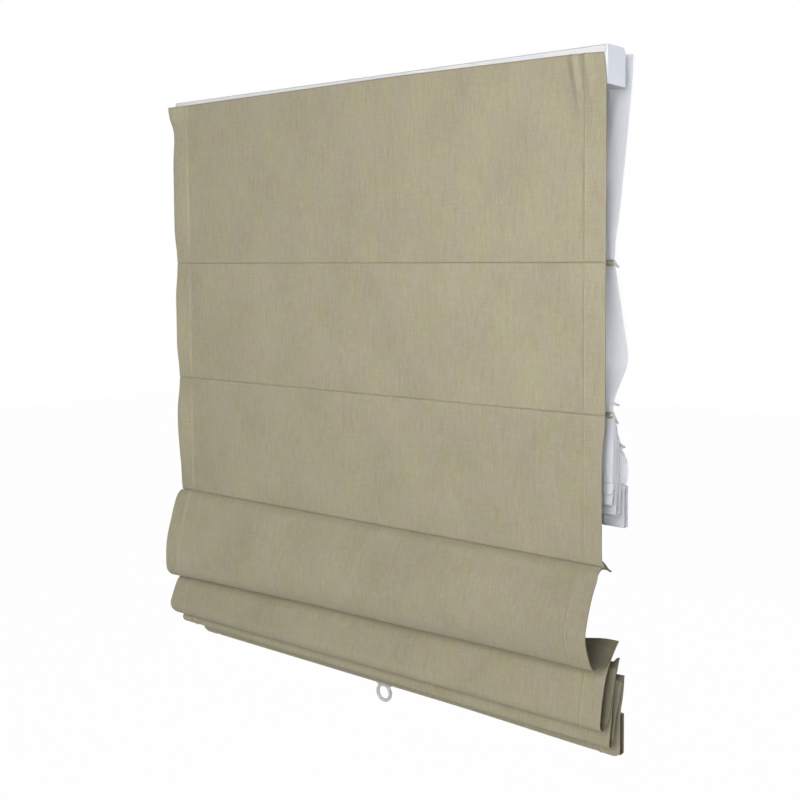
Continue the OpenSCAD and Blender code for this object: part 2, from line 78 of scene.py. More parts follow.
# Routes of the cloth as distance towards the window and height, in millimetres.
FRONT_ROOTS = [
    (-25.1, -265.0), (-25.1, -455.0), (-25.1, -645.0), (-3.1, -760.0), (5.9, -784.0), (14.9, -803.0),
]
FRONT_BAR = (23.9, -851.0)
REAR_HEADING = [(25.1, -4.0), (25.1, -43.1)]
REAR_ROOTS = [
    (-2.5, -262.0), (-4.5, -441.0), (-0.5, -455.0), (4.5, -469.0), (10.5, -484.0), (17.5, -499.0),
]
REAR_BAR = (31.5, -554.0)
BAR_THICK, BAR_HIGH = 8.0, 50.0
ROD_BACK, POCKET_R = 14.85, 2.65
EYELET_BACK, EYELET_HALF = 7.4, 2.75
CORD_X = 280.0
LOOP_DROP = 101
LAYER_HALF = 0.55
BEND_R = 1.3
BEND = LAYER_HALF + BEND_R

# Points on the ring of a rod pocket, and the radius of the fold at the free tip of a tuck.
RING_POINTS = 15
TIP_R = 0.7

# How far from its side the cloth starts to lie free of the rods, and where it is quite free.
FREE_FROM, FREE_AT = 12.5, 0.8

# Extra columns beside the line of the side hem and in from the side, and the least gap between columns.
HEM_COLUMNS = (-3, -1.6, -0.8, 0, 0.8, 1.6, 3)
END_COLUMNS = (0.8, 1.8, 2.9, 4.1, 5.4, 6.8, 8.3, 10.0, 12.0)
LEAST_COLUMN = 0.6

# Where the sides of the hanging cloth start to bow, narrow or swell, and where they do so fully.
LEFT_BOW = (366, 400)
TOP_NARROWS = (376, 400)
RIGHT_NARROWS = (374, 400)
LINER_SWELLS = (300, 402)
POCKET_GAPES = (332, 390)

# How far stitches stand off the cloth.
SEAM_LIFT = 0.1

# Number of soft waves in the cloth's unevenness, its seeds and that of the stitches.
WAVES = 9
FACE_SEED, LOWER_SEED, FOLD_SEED, LINER_SEED, STITCH_SEED = 11, 12, 21, 31, 7

# Where the cloth enters, turns and leaves each gathered tuck at its free ends, beyond the rod.
FRONT_ENDS = [
    ((-22.6, -645.7), (-6.9, -654.0), (-23.2, -647.4)),
    ((-3.2, -762.4), (13.1, -749.6), (-3.5, -764.8)),
    ((8.3, -785.0), (16.0, -772.4), (9.8, -788.0)),
    ((26.5, -808.0), (29.5, -799.6), (28.6, -809.0)),
]
REAR_ENDS = [
    ((-1.2, -262.2), (9.8, -271.3), (-2.2, -264.2)),
    ((-3.2, -441.1), (11.9, -445.2), (-3.4, -443.2)),
    ((0.3, -456.0), (9.7, -468.4), (-0.6, -458.4)),
    ((5.0, -469.6), (7.2, -486.0), (5.2, -472.4)),
    ((11.0, -484.6), (13.6, -500.0), (11.2, -487.4)),
    ((18.6, -499.3), (28.6, -500.6), (18.4, -501.6)),
]

# Route of each lift cord along the headrail, from its spool to the guide, in millimetres.
CORD_TOP = -33.95
CORD_IN_BAR = 2.4
FRONT_RAIL_CORDS = (
    [(-125.8, -7.0), (-145.25, -7.0), (-280.0, -17.7)],
    [(-44.2, -7.0), (-24.75, -7.0), (22.75, -19.2), (147.25, -19.2), (280.0, -17.7)],
)
REAR_RAIL_CORDS = (
    [(44.2, 7.0), (24.75, 7.0), (-22.75, 19.2), (-147.25, 19.2), (-280.0, 17.85), (-280.0, 28.5)],
    [(125.8, 7.0), (145.25, 7.0), (280.0, 17.85), (280.0, 28.5)],
)


def length_value(name, description, millimetres):
    """A length in the sidebar."""
    return FloatProperty(name=name, description=description, default=millimetres * MM, unit="LENGTH")


def colour_value(name, description, colour):
    """A colour in the sidebar."""
    return FloatVectorProperty(name=name, description=description, default=colour, subtype="COLOR")


def power_value(name, description, watts):
    """The power of a light in the sidebar."""
    return FloatProperty(name=name, description=description, default=watts, unit="POWER")


class BlindSizes(PropertyGroup):
    """Sizes of the cloth, cords and stitches."""

    cloth_thick: length_value("Cloth thickness", "Thickness of both cloths", 1.0)
    side_hem: length_value("Side hem", "Width of the pressed hem along each side", 30)
    hem_step: length_value("Hem step", "How far the side hem stands up at its inner line", 0.7)
    ripple: length_value("Ripple", "Unevenness of a hanging panel", 0.7)
    cord_r: length_value("Cord radius", "Radius of a lift cord", 0.7)
    stitch_pitch: length_value("Stitch pitch", "Distance from one stitch to the next", 4.2)
    stitch_long: length_value("Stitch length", "Visible length of one stitch", 2.8)
    thread_r: length_value("Thread radius", "Radius of the sewing thread", 0.28)


class BlindColours(PropertyGroup):
    """Colours of the finishes."""

    linen: colour_value("Linen", "Main colour of the front cloth", (0.408, 0.370, 0.270))
    linen_olive: colour_value("Olive cast", "Greener patches of the front cloth", (0.398, 0.374, 0.238))
    linen_warm: colour_value("Warm slub", "Browner threads of the front cloth", (0.36, 0.300, 0.194))
    linen_pale: colour_value("Pale slub", "Paler threads of the front cloth", (0.50, 0.474, 0.362))
    thread: colour_value("Thread", "Sewing thread of the front cloth", (0.56, 0.53, 0.405))
    liner: colour_value("Liner", "Main colour of the rear cloth", (0.81, 0.83, 0.885))
    coat: colour_value("Coat", "White coat of the headrail", (0.80, 0.80, 0.83))
    cap: colour_value("Cap", "Moulded end caps", (0.83, 0.87, 0.96))


class BlindStage(PropertyGroup):
    """Floor and light."""

    key_power: power_value("Key light", "Power of the key light", 57.0)
    side_power: power_value("Side light", "Power of the narrow light at the right", 0.78)
    back_power: power_value("Back light", "Power of the light behind the blind", 10.0)
    sky: FloatProperty(name="Ambient", description="Strength of the light all round", default=0.2)
    floor_z: length_value("Floor", "Height of the floor", -1600)


# Curves and meshes of the cloth.


def blend_step(value, low, high):
    """Smooth step from 0 at low to 1 at high."""
    share = np.clip((np.asarray(value, float) - low) / (high - low), 0.0, 1.0)
    return share * share * (3 - 2 * share)


def mound(value, middle, width):
    """Soft mound, 1 at the middle."""
    return np.exp(-(((value - middle) / width) ** 2))


def columns(step=5.0, extra=()):
    """Column places across the cloth in millimetres, closer at the hems and eyelets."""
    half = HALF_WIDTH / MM
    hem = bpy.context.scene.blind_sizes.side_hem / MM
    places = list(np.linspace(-half, half, int(round(2 * half / step)) + 1))
    for side in (-1, 1):
        places += [side * (half - hem + d) for d in HEM_COLUMNS]
        places += [side * CORD_X + d for d in (-EYELET_HALF, EYELET_HALF)]
        places += [side * (half - d) for d in END_COLUMNS]
    places = np.unique(np.round(np.array(places + list(extra)), 3))
    keep = [places[0]]
    for x in places[1:]:
        if x - keep[-1] > LEAST_COLUMN:
            keep.append(x)
    return np.array(keep)


def smooth_rows(points, per=6):
    """Smooth rows through control points: (columns, points, 2) becomes (columns, rows, 2)."""
    points = np.asarray(points, float)
    gaps = np.maximum(np.linalg.norm(np.diff(points, axis=1), axis=2).mean(axis=0), 1e-6) ** 0.5
    slope = np.diff(points, axis=1) / gaps[None, :, None]
    tangent = np.zeros_like(points)
    before, after = gaps[:-1][None, :, None], gaps[1:][None, :, None]
    tangent[:, 1:-1] = (slope[:, :-1] * after + slope[:, 1:] * before) / (before + after)
    tangent[:, 0], tangent[:, -1] = slope[:, 0], slope[:, -1]
    rows = []
    for k in range(points.shape[1] - 1):
        for t in np.arange(per) / per:
            rows.append(
                (2 * t**3 - 3 * t**2 + 1) * points[:, k]
                + (t**3 - 2 * t**2 + t) * gaps[k] * tangent[:, k]
                + (3 * t**2 - 2 * t**3) * points[:, k + 1]
                + (t**3 - t**2) * gaps[k] * tangent[:, k + 1]
            )
    rows.append(points[:, -1])
    return np.stack(rows, axis=1)


def arc(centre, radius, start, end, count):
    """Points on an arc, angles in degrees from +Y towards +Z."""
    angles = np.radians(np.linspace(start, end, count))
    return [(centre[0] + radius * math.cos(a), centre[1] + radius * math.sin(a)) for a in angles]


def drop(y, top, low, step=6.0):
    """Points straight down from top to low, both included."""
    count = max(2, int(abs(top - low) / step) + 1)
    return [(y, z) for z in np.linspace(top, low, count)]


def tuck(root):
    """Route of the cloth through one tuck: back, round the rod and forwards again."""
    y, z = root
    pocket = (y + ROD_BACK, z)
    lay = [y + BEND_R, y + 2.6, y + EYELET_BACK - EYELET_HALF, y + EYELET_BACK + EYELET_HALF]
    over = [(p, z + LAYER_HALF) for p in lay]
    ring = arc(pocket, POCKET_R, 140, -140, RING_POINTS)
    under = [(p, z - LAYER_HALF) for p in reversed(lay)]
    return over + ring + under


def freed(xs):
    """0 along the rods, rising to 1 at the free ends of the cloth."""
    half = HALF_WIDTH / MM
    return blend_step(np.abs(xs), half - FREE_FROM, half - FREE_AT)


def fan(end):
    """Route through the free end of a tuck, with as many points as tuck(): to its tip and back."""
    enter, tip, leave = (np.array(point) for point in end)
    back = (tip - (enter + leave) / 2) / np.linalg.norm(tip - (enter + leave) / 2)
    turn = math.degrees(math.atan2(back[1], back[0]))
    over = [tuple(enter + (tip - enter) * t) for t in (0, 0.15, 0.35, 0.7)]
    under = [tuple(leave + (tip - leave) * t) for t in (0.7, 0.35, 0.15, 0)]
    return over + arc(tip - TIP_R * back, TIP_R, turn + 90, turn - 90, RING_POINTS) + under


def open_pocket(root):
    """Route round the open end of a rod pocket, with as many points as tuck()."""
    y, z = root
    over = [(y + BEND_R, z + LAYER_HALF), (y + 4, z + 0.9), (y + 7, z + 1.4), (y + 10.5, z + 2.0)]
    ring = [(y + 16.2 + 5.8 * math.cos(a), z - 0.7 + 3.2 * math.sin(a))
            for a in np.radians(np.linspace(140, -140, RING_POINTS))]
    under = [(y + 10.5, z - 2.8), (y + 7, z - 2.2), (y + 4, z - 1.4), (y + BEND_R, z - LAYER_HALF)]
    return over + ring + under


def rows_between(xs, along, free):
    """Rows that follow one route along the rods and another at the free ends."""
    share = freed(xs)[:, None, None]
    return np.asarray(along, float)[None] * (1 - share) + np.asarray(free, float)[None] * share


def ease(rows, xs, fixed, moved, reach=22.0):
    """Leads the rows near one point over to another place at the free ends."""
    near = 1 - blend_step(np.linalg.norm(rows - np.array(fixed), axis=2), 0.0, reach)
    rows += (freed(xs)[:, None] * near)[..., None] * (np.array(moved) - fixed)


def into_tuck(root):
    """Bend from a hanging panel into the tuck below it."""
    y, z = root
    return arc((y + BEND_R, z + LAYER_HALF + BEND_R), BEND_R, 180, 270, 6)


def out_of_tuck(root):
    """Bend from a tuck into the panel that hangs below it."""
    y, z = root
    return arc((y + BEND_R, z - LAYER_HALF - BEND_R), BEND_R, 90, 180, 6)


def join(*runs):
    """One route from several runs, with the doubled points left out."""
    route = []
    for run in runs:
        for point in run:
            if not route or math.dist(point, route[-1]) > 0.05:
                route.append(point)
    return np.array(route)


def spread(route, xs):
    """The same route at every column."""
    return np.repeat(np.asarray(route, float)[None], len(xs), axis=0)


def waves(seed, count, low, high):
    """Directions, phases and weights of a fixed set of soft waves, in cycles per metre."""
    draw = np.random.default_rng(seed)
    angle = draw.uniform(0, math.pi, count)
    pitch = draw.uniform(low, high, count)
    phase = draw.uniform(0, 2 * math.pi, count)
    return pitch * np.cos(angle), pitch * np.sin(angle), phase, draw.uniform(0.5, 1, count)


def unevenness(xs, along, seed, low=1.0, high=7.0):
    """Soft unevenness from -1 to 1 over columns and rows given in millimetres."""
    across, down, phase, weight = waves(seed, WAVES, low, high)
    value = np.zeros(np.broadcast(xs[:, None], along).shape)
    for a, d, p, w in zip(across, down, phase, weight):
        value += w * np.sin(2 * math.pi * (a * xs[:, None] + d * along) * MM + p)
    return value / weight.sum()


def new_piece(name, points, polygons, uv_name, uv):
    """A smooth piece with sharp edges, from points in metres, polygons and the UV place of each corner."""
    mesh = bpy.data.meshes.new(name)
    mesh.from_pydata(points, [], polygons)
    mesh.uv_layers.new(name=uv_name).data.foreach_set("uv", np.array(uv, np.float32).ravel())
    mesh.polygons.foreach_set("use_smooth", np.ones(len(mesh.polygons), bool))
    mesh.update()
    mesh.set_sharp_from_angle(angle=math.radians(50))
    piece = bpy.data.objects.new(name, mesh)
    bpy.context.scene.collection.objects.link(piece)
    return piece


def cloth_mesh(name, xs, rows, start=0.0, plain_rows=None, holes=(), shift=None, part=slice(None), inner_shade=1.0):
    """Closed mesh of a thin cloth. xs are its columns and rows its (columns, rows, 2) route, in millimetres.
    start is the length of cloth above the rows. plain_rows says where the side hem has no step.
    holes are (row, row) pairs of the eyelet openings. shift moves columns sideways. part keeps some rows.
    The last argument says how much painted shade darkens the back face and the rims, for the shade inside the
    folds.
    Gives the piece, its length and the points of its outer face, in millimetres."""
    sizes = bpy.context.scene.blind_sizes
    nx, ns = rows.shape[:2]
    middle = np.zeros((nx, ns, 3))
    middle[..., 0] = xs[:, None] if shift is None else xs[:, None] + shift
    middle[..., 1:] = rows
    across = np.gradient(middle, axis=0)
    down = np.gradient(middle, axis=1)
    normal = np.cross(down, across)
    normal /= np.maximum(np.linalg.norm(normal, axis=2, keepdims=True), 1e-9)
    half = sizes.cloth_thick / MM / 2
    inside = HALF_WIDTH / MM - sizes.side_hem / MM
    hem = blend_step(np.abs(xs), inside - 1.2, inside + 1.2)
    ridge = mound(np.abs(xs), inside + 1.0, 1.6)
    valley = mound(np.abs(xs), inside - 6.0, 5.0)
    lift = sizes.hem_step / MM * (0.5 * hem + 0.5 * ridge - 0.5 * valley)
    lift = lift[:, None] * (np.ones(ns) if plain_rows is None else 1.0 - plain_rows)[None, :]
    face = middle + normal * (half + lift)[..., None]
    back = middle - normal * half
    steps = np.linalg.norm(np.diff(rows.mean(axis=0), axis=0), axis=1)
    length = np.concatenate([[0], np.cumsum(steps)]) + start
    face, back, length = face[:, part], back[:, part], length[part]
    ns = len(length)
    points = np.concatenate([face.reshape(-1, 3), back.reshape(-1, 3)]) * MM
    kept = np.ones((nx - 1, ns - 1), bool)
    if holes:
        for side in (-1, 1):
            a = int(np.argmin(np.abs(xs - (side * CORD_X - EYELET_HALF))))
            b = int(np.argmin(np.abs(xs - (side * CORD_X + EYELET_HALF))))
            for j0, j1 in holes:
                kept[a:b, j0:j1] = False
    number = np.arange(nx * ns).reshape(nx, ns)
    i, j = np.nonzero(kept)
    quads = np.stack([number[i, j], number[i, j + 1], number[i + 1, j + 1], number[i + 1, j]], axis=1)
    rim = []
    padded = np.pad(kept, 1)
    for di, dj, p, q in ((-1, 0, 0, 1), (0, 1, 1, 2), (1, 0, 2, 3), (0, -1, 3, 0)):
        open_side = ~padded[i + 1 + di, j + 1 + dj]
        a, b = quads[open_side, p], quads[open_side, q]
        rim.append(np.stack([b, a, a + nx * ns, b + nx * ns], axis=1))
    polygons = np.concatenate([quads, quads[:, ::-1] + nx * ns, *rim])
    flat = np.stack(np.broadcast_arrays(xs[:, None], -length[None, :]), axis=2).reshape(-1, 2) * MM
    flat = np.concatenate([flat, flat])[polygons.ravel()]
    piece = new_piece(name, points.tolist(), polygons.tolist(), "Cloth", flat)
    # Painted shade: the back face and the rims get a value that darkens them in the linen finish.
    reverse_shade = inner_shade * (np.arange(len(polygons)) >= len(quads)).astype(np.float32)
    piece.data.attributes.new("Reverse", "FLOAT", "FACE").data.foreach_set("value", reverse_shade)
    if holes:
        loose_points(piece)
    return piece, float(length[-1] - length[0]), face + SEAM_LIFT * normal[:, part]


def loose_points(piece):
    """Removes points that no face uses, left in the eyelet openings."""
    work = bmesh.new()
    work.from_mesh(piece.data)
    bmesh.ops.delete(work, geom=[v for v in work.verts if not v.link_faces], context="VERTS")
    work.to_mesh(piece.data)
    work.free()


def riding(body):
    """Lets a piece ride on a body."""
    return lambda piece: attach(piece, body)


def bending(upper, lower, start, end):
    """Bakes the place of a piece into its mesh. The two bodies and the two points are not used."""
    start, end = ([c * MM for c in point] for point in (start, end))
    return lambda piece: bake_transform(piece)


def shortening(body):
    """Lets a hanging panel ride on a body, with its own copy of the mesh."""

    def move(piece):
        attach(piece, body)
        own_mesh(piece)

    return move


def hang(piece, move, finishes, node, seams=()):
    """Finish, motion, CAD node and stitches of one stretch of cloth."""
    cloth, thread = finishes
    piece.data.materials.append(cloth)
    sewn = [stitches(piece.name + "_stitches", seams, thread)] if seams else []
    for each in (piece, *sewn):
        move(each)
    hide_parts(node)


def side_seams(xs, skin, rows=slice(None)):
    """Lines of stitches along both side hems of a stretch of cloth."""
    inside = HALF_WIDTH / MM - bpy.context.scene.blind_sizes.side_hem / MM + 1.6
    return [skin[int(np.argmin(np.abs(xs - side * inside))), rows] for side in (-1, 1)]


def stitch_tree():
    """Geometry nodes that lay a stitch at every step along each line of a mesh."""
    tree = bpy.data.node_groups.new("stitch_row", "GeometryNodeTree")
    sockets = tree.interface
    sockets.new_socket("Line", in_out="INPUT", socket_type="NodeSocketGeometry")
    for name in ("Pitch", "Stitch length", "Thread radius"):
        sockets.new_socket(name, in_out="INPUT", socket_type="NodeSocketFloat")
    sockets.new_socket("Seed", in_out="INPUT", socket_type="NodeSocketInt")
    sockets.new_socket("Thread", in_out="INPUT", socket_type="NodeSocketMaterial")
    sockets.new_socket("Stitches", in_out="OUTPUT", socket_type="NodeSocketGeometry")
    given = add(tree, "NodeGroupInput").outputs
    line = add(tree, "GeometryNodeMeshToCurve", {"Mesh": given["Line"]})
    spots = add(tree, "GeometryNodeCurveToPoints", {"Curve": line.outputs[0], "Length": given["Pitch"]},
                mode="LENGTH").outputs
    stitch = add(tree, "GeometryNodeMeshCylinder", {"Vertices": 6, "Radius": given["Thread radius"],
                                                    "Depth": given["Stitch length"]})
    uneven = add(tree, "FunctionNodeRandomValue",
                 {0: (1.0, 1.0, 0.85), 1: (1.0, 1.0, 1.12), "Seed": given["Seed"]}, data_type="FLOAT_VECTOR")
    laid = add(tree, "GeometryNodeInstanceOnPoints", {
        "Points": spots["Points"], "Instance": stitch.outputs["Mesh"], "Rotation": spots["Rotation"],
        "Scale": uneven.outputs[0]})
    real = add(tree, "GeometryNodeRealizeInstances", {"Geometry": laid.outputs[0]})
    made = add(tree, "GeometryNodeSetMaterial", {"Geometry": real.outputs[0], "Material": given["Thread"]})
    add(tree, "NodeGroupOutput", {"Stitches": made.outputs[0]})
    return tree


def stitches(name, lines, thread):
    """Rows of stitches along lines of points in millimetres, as one plain mesh."""
    sizes = bpy.context.scene.blind_sizes
    tree = bpy.data.node_groups.get("stitch_row") or stitch_tree()
    points, edges = [], []
    for line in lines:
        edges += [(len(points) + k, len(points) + k + 1) for k in range(len(line) - 1)]
        points += [tuple(point * MM) for point in line]
    mesh = bpy.data.meshes.new(name + "_line")
    mesh.from_pydata(points, edges, [])
    piece = bpy.data.objects.new(name, mesh)
    bpy.context.scene.collection.objects.link(piece)
    modifier = piece.modifiers.new("stitches", "NODES")
    modifier.node_group = tree
    values = {"Pitch": sizes.stitch_pitch, "Stitch length": sizes.stitch_long,
              "Thread radius": sizes.thread_r, "Seed": STITCH_SEED, "Thread": thread}
    for socket in tree.interface.items_tree:
        if socket.name in values:
            modifier[socket.identifier] = values[socket.name]
    graph = bpy.context.evaluated_depsgraph_get()
    made = bpy.data.meshes.new_from_object(piece.evaluated_get(graph), depsgraph=graph)
    piece.modifiers.clear()
    piece.data = made
    made.name = name
    return piece


def eyelet_rows(rows, root):
    """Row pairs of the eyelet openings in the two layers of a tuck."""
    y0 = root[0] + EYELET_BACK - EYELET_HALF
    y1 = root[0] + EYELET_BACK + EYELET_HALF
    line = rows[len(rows) // 2]
    pairs = []
    for z in (root[1] + LAYER_HALF, root[1] - LAYER_HALF):
        spot = [int(np.argmin(np.hypot(line[:, 0] - y, line[:, 1] - z))) for y in (y0, y1)]
        pairs.append((min(spot), max(spot)))
    return pairs


def hanging_rows(route, roots):
    """1 on the rows inside the tucks and their bends, 0 on the hanging panels."""
    plain = np.zeros(len(route))
    for y, z in roots:
        plain[(np.abs(route[:, 1] - z) < 3.4) & (route[:, 0] > y - 0.3)] = 1.0
    return plain


# Node materials. A wave texture repeats every WAVE_PERIOD at a scale of 1.

WAVE_PERIOD = 2 * math.pi / 20.0
UNEVEN_GLOSS = 0.06


def add(tree, kind, links=None, **settings):
    """A node with its settings and its inputs, which are sockets to link or plain values."""
    node = tree.nodes.new(kind)
    for name, value in settings.items():
        setattr(node, name, value)
    for name, value in (links or {}).items():
        socket = node.inputs[name]
        if isinstance(value, bpy.types.NodeSocket):
            tree.links.new(value, socket)
        else:
            socket.default_value = value
    return node


def finish(name, **values):
    """A new material with a Principled shader, its constants set on the shader's own sockets."""
    material = bpy.data.materials.new(name)
    material.use_nodes = True
    tree = material.node_tree
    shader = tree.nodes["Principled BSDF"]
    for socket, value in values.items():
        shader.inputs[socket.replace("_", " ")].default_value = value
    return material, tree, shader


def streaks(tree, where, scale, detail=2.0, roughness=0.5):
    """Noise stretched to a scale, in cycles per metre across and down."""
    place = add(tree, "ShaderNodeMapping", {"Vector": where, "Scale": (*scale, 1.0)})
    noise = add(tree, "ShaderNodeTexNoise", {"Vector": place.outputs[0], "Scale": 1.0, "Detail": detail,
                                             "Roughness": roughness})
    return noise.outputs["Fac"]


def ranged(tree, value, low, high, to_low=0.0, to_high=1.0):
    """Value mapped from one range to another and held inside it."""
    limits = {"From Min": low, "From Max": high, "To Min": to_low, "To Max": to_high}
    return add(tree, "ShaderNodeMapRange", {"Value": value, **limits}).outputs[0]


def tint(tree, amount, base, colour, kind="MIX"):
    """Base mixed towards colour by amount."""
    node = add(tree, "ShaderNodeMix", data_type="RGBA", blend_type=kind)
    for socket, value in ((node.inputs[0], amount), (node.inputs[6], base), (node.inputs[7], colour)):
        if isinstance(value, bpy.types.NodeSocket):
            tree.links.new(value, socket)
        elif hasattr(value, "__len__"):
            socket.default_value = (*value[:3], 1.0)
        else:
            socket.default_value = value
    return node.outputs[2]


def maths(tree, operation, *values):
    """Result of one sum on sockets or plain values."""
    return add(tree, "ShaderNodeMath", dict(enumerate(values)), operation=operation).outputs[0]


def dimmed(colour, share):
    """That share of a colour."""
    return tuple(share * c for c in colour)


def surface(tree, shader, colour, height, strength, depth):
    """Links a colour to a shader, and the bump of a height with its strength and its depth in millimetres."""
    bump = add(tree, "ShaderNodeBump", {"Strength": strength, "Distance": depth * MM, "Height": height})
    tree.links.new(bump.outputs[0], shader.inputs["Normal"])
    tree.links.new(colour, shader.inputs["Base Color"])


def woven(tree, where, pitch, offset):
    """Height of a plain weave of that thread pitch in millimetres, uneven along its threads."""
    scale = WAVE_PERIOD / (pitch * MM)
    place = add(tree, "ShaderNodeMapping", {"Vector": where, "Location": (offset, offset * 0.7, 0.0),
                                            "Scale": (scale, scale, 1.0)}).outputs[0]
    waved = {"Vector": place, "Scale": 1.0, "Distortion": 1.6, "Detail": 2.0, "Detail Scale": 0.6}
    threads = [add(tree, "ShaderNodeTexWave", waved, bands_direction=axis).outputs["Fac"] for axis in "XY"]
    return maths(tree, "ADD", maths(tree, "MULTIPLY", *threads), maths(tree, "MAXIMUM", *threads))


def linen_finish():
    """Olive-beige slub linen: short warm and pale slubs, a fine weft and a plain weave, with painted shade on
    the back face and rims and along the top edge.
    """
    colours = bpy.context.scene.blind_colours
    material, tree, shader = finish("slub_linen", Roughness=0.88, Sheen_Weight=0.12, Sheen_Roughness=0.5,
                                    Specular_IOR_Level=0.2)
    where = add(tree, "ShaderNodeUVMap", uv_map="Cloth").outputs[0]
    weft = streaks(tree, where, (38.0, 520.0), 3.0, 0.6)
    slub = streaks(tree, where, (900.0, 110.0), 2.0, 0.7)
    colour = colours.linen
    for threads, low, high, most, other in (
        (streaks(tree, where, (26.0, 17.0)), 0.42, 0.62, 1.0, colours.linen_olive),
        (streaks(tree, where, (170.0, 26.0), 3.0, 0.62), 0.46, 0.72, 0.58, colours.linen_warm),
        (streaks(tree, where, (420.0, 44.0), 3.0, 0.6), 0.5, 0.75, 0.55, colours.linen_pale),
        (weft, 0.42, 0.68, 0.4, colours.linen_warm),
        (slub, 0.45, 0.7, 0.35, colours.linen_pale),
    ):
        colour = tint(tree, ranged(tree, threads, low, high, 0.0, most), colour, other)
    reverse_shade = add(tree, "ShaderNodeAttribute", attribute_name="Reverse").outputs["Fac"]
    shaded_top_edge = add(tree, "ShaderNodeSeparateXYZ", {0: where}).outputs["Y"]
    shade = ranged(tree, streaks(tree, where, (13.0, 8.0), 3.0), 0.3, 0.7, 0.94, 1.055)
    # Painted shade: the back face and the rims are darkened, for the shade inside the folds.
    shade = maths(tree, "MULTIPLY", shade, ranged(tree, reverse_shade, 0.0, 1.0, 1.0, 0.62))
    # Painted shade: a dark line along the top edge of the cloth, where it turns under at the headrail.
    shade = maths(tree, "MULTIPLY", shade, ranged(tree, shaded_top_edge, -2.0 * MM, -0.8 * MM, 1.0, 0.7))
    grey = add(tree, "ShaderNodeCombineColor", {0: shade, 1: shade, 2: shade})
    colour = tint(tree, 1.0, colour, grey.outputs[0], "MULTIPLY")
    height = maths(tree, "ADD", woven(tree, where, 0.75, 0.0), maths(tree, "ADD", slub, weft))
    surface(tree, shader, colour, height, 0.5, 0.16)
    return material


def thread_finish(name, colour):
    """Sewing thread, its twist seen as fine slanted bands."""
    material, tree, shader = finish(name, Roughness=0.7, Sheen_Weight=0.2)
    where = add(tree, "ShaderNodeTexCoord").outputs["Object"]
    twist = add(tree, "ShaderNodeTexWave", {"Vector": where, "Scale": 900.0, "Distortion": 0.5},
                bands_direction="DIAGONAL").outputs["Fac"]
    surface(tree, shader, tint(tree, twist, dimmed(colour, 0.82), colour), twist, 0.4, 0.05)
    return material


def liner_finish():
    """Smooth white liner cloth with a close plain weave."""
    colour = bpy.context.scene.blind_colours.liner
    greyer = dimmed(colour, 0.9)
    material, tree, shader = finish("white_liner", Roughness=0.8, Sheen_Weight=0.1, Sheen_Roughness=0.4,
                                    Specular_IOR_Level=0.3)
    where = add(tree, "ShaderNodeUVMap", uv_map="Cloth").outputs[0]
    cloudy = streaks(tree, where, (12.0, 8.0), 3.0)
    thread = streaks(tree, where, (700.0, 40.0))
    colour = tint(tree, ranged(tree, cloudy, 0.35, 0.65, 0.0, 0.5), colour, greyer)
    colour = tint(tree, ranged(tree, thread, 0.4, 0.7, 0.0, 0.35), colour, greyer)
    surface(tree, shader, colour, woven(tree, where, 0.5, 3.0), 0.35, 0.1)
    return material


def moulded_finish(name, colour, roughness, grain, depth, wear=0.06, lines=(), **values):
    """A coated or moulded surface: faint cloudiness, uneven gloss and fine grain, its depth in millimetres.
    lines are (axis, start, end) in millimetres: a painted shade line, darker, comes up between start and end
    on both sides of the middle."""
    material, tree, shader = finish(name, **values)
    where = add(tree, "ShaderNodeTexCoord").outputs["Object"]
    cloudy = add(tree, "ShaderNodeTexNoise", {"Vector": where, "Scale": 14.0, "Detail": 3.0}).outputs["Fac"]
    fine = add(tree, "ShaderNodeTexNoise", {"Vector": where, "Scale": grain, "Detail": 2.0}).outputs["Fac"]
    mixed = tint(tree, ranged(tree, cloudy, 0.35, 0.65), colour, dimmed(colour, 1.0 - wear))
    # Painted shade: each of the given lines darkens the colour there.
    for axis, start, end in lines:
        place = add(tree, "ShaderNodeSeparateXYZ", {0: where}).outputs[axis]
        apart = maths(tree, "ABSOLUTE", place)
        mixed = tint(tree, ranged(tree, apart, start * MM, end * MM), mixed, dimmed(colour, 0.55))
    gloss = ranged(tree, cloudy, 0.3, 0.7, max(roughness - UNEVEN_GLOSS, 0.02), roughness + UNEVEN_GLOSS)
    tree.links.new(gloss, shader.inputs["Roughness"])
    surface(tree, shader, mixed, fine, 0.3, depth)
    return material


def braid_finish():
    """Braided white lift cord, its strands crossing along the cord."""
    material, tree, shader = finish("braided_cord", Roughness=0.75, Sheen_Weight=0.2)
    where = add(tree, "ShaderNodeUVMap", uv_map="Cord").outputs[0]
    strands = []
    for turn in (0.7, -0.7):
        place = add(tree, "ShaderNodeMapping", {"Vector": where, "Rotation": (0.0, 0.0, turn),
                                                "Scale": (380.0, 380.0, 1.0)}).outputs[0]
        wave = add(tree, "ShaderNodeTexWave", {"Vector": place, "Scale": 1.0, "Distortion": 0.4})
        strands.append(wave.outputs["Fac"])
    both = maths(tree, "MULTIPLY", *strands)
    colour = tint(tree, ranged(tree, both, 0.1, 0.9), (0.66, 0.66, 0.64), (0.86, 0.86, 0.84))
    surface(tree, shader, colour, both, 0.6, 0.15)
    return material


# Gathered folds of the front shade at the left and the right side, as control points from tuck to tuck,
# with the number of the point where the fold turns back up, and how far the pocket above it opens
# towards its ends.

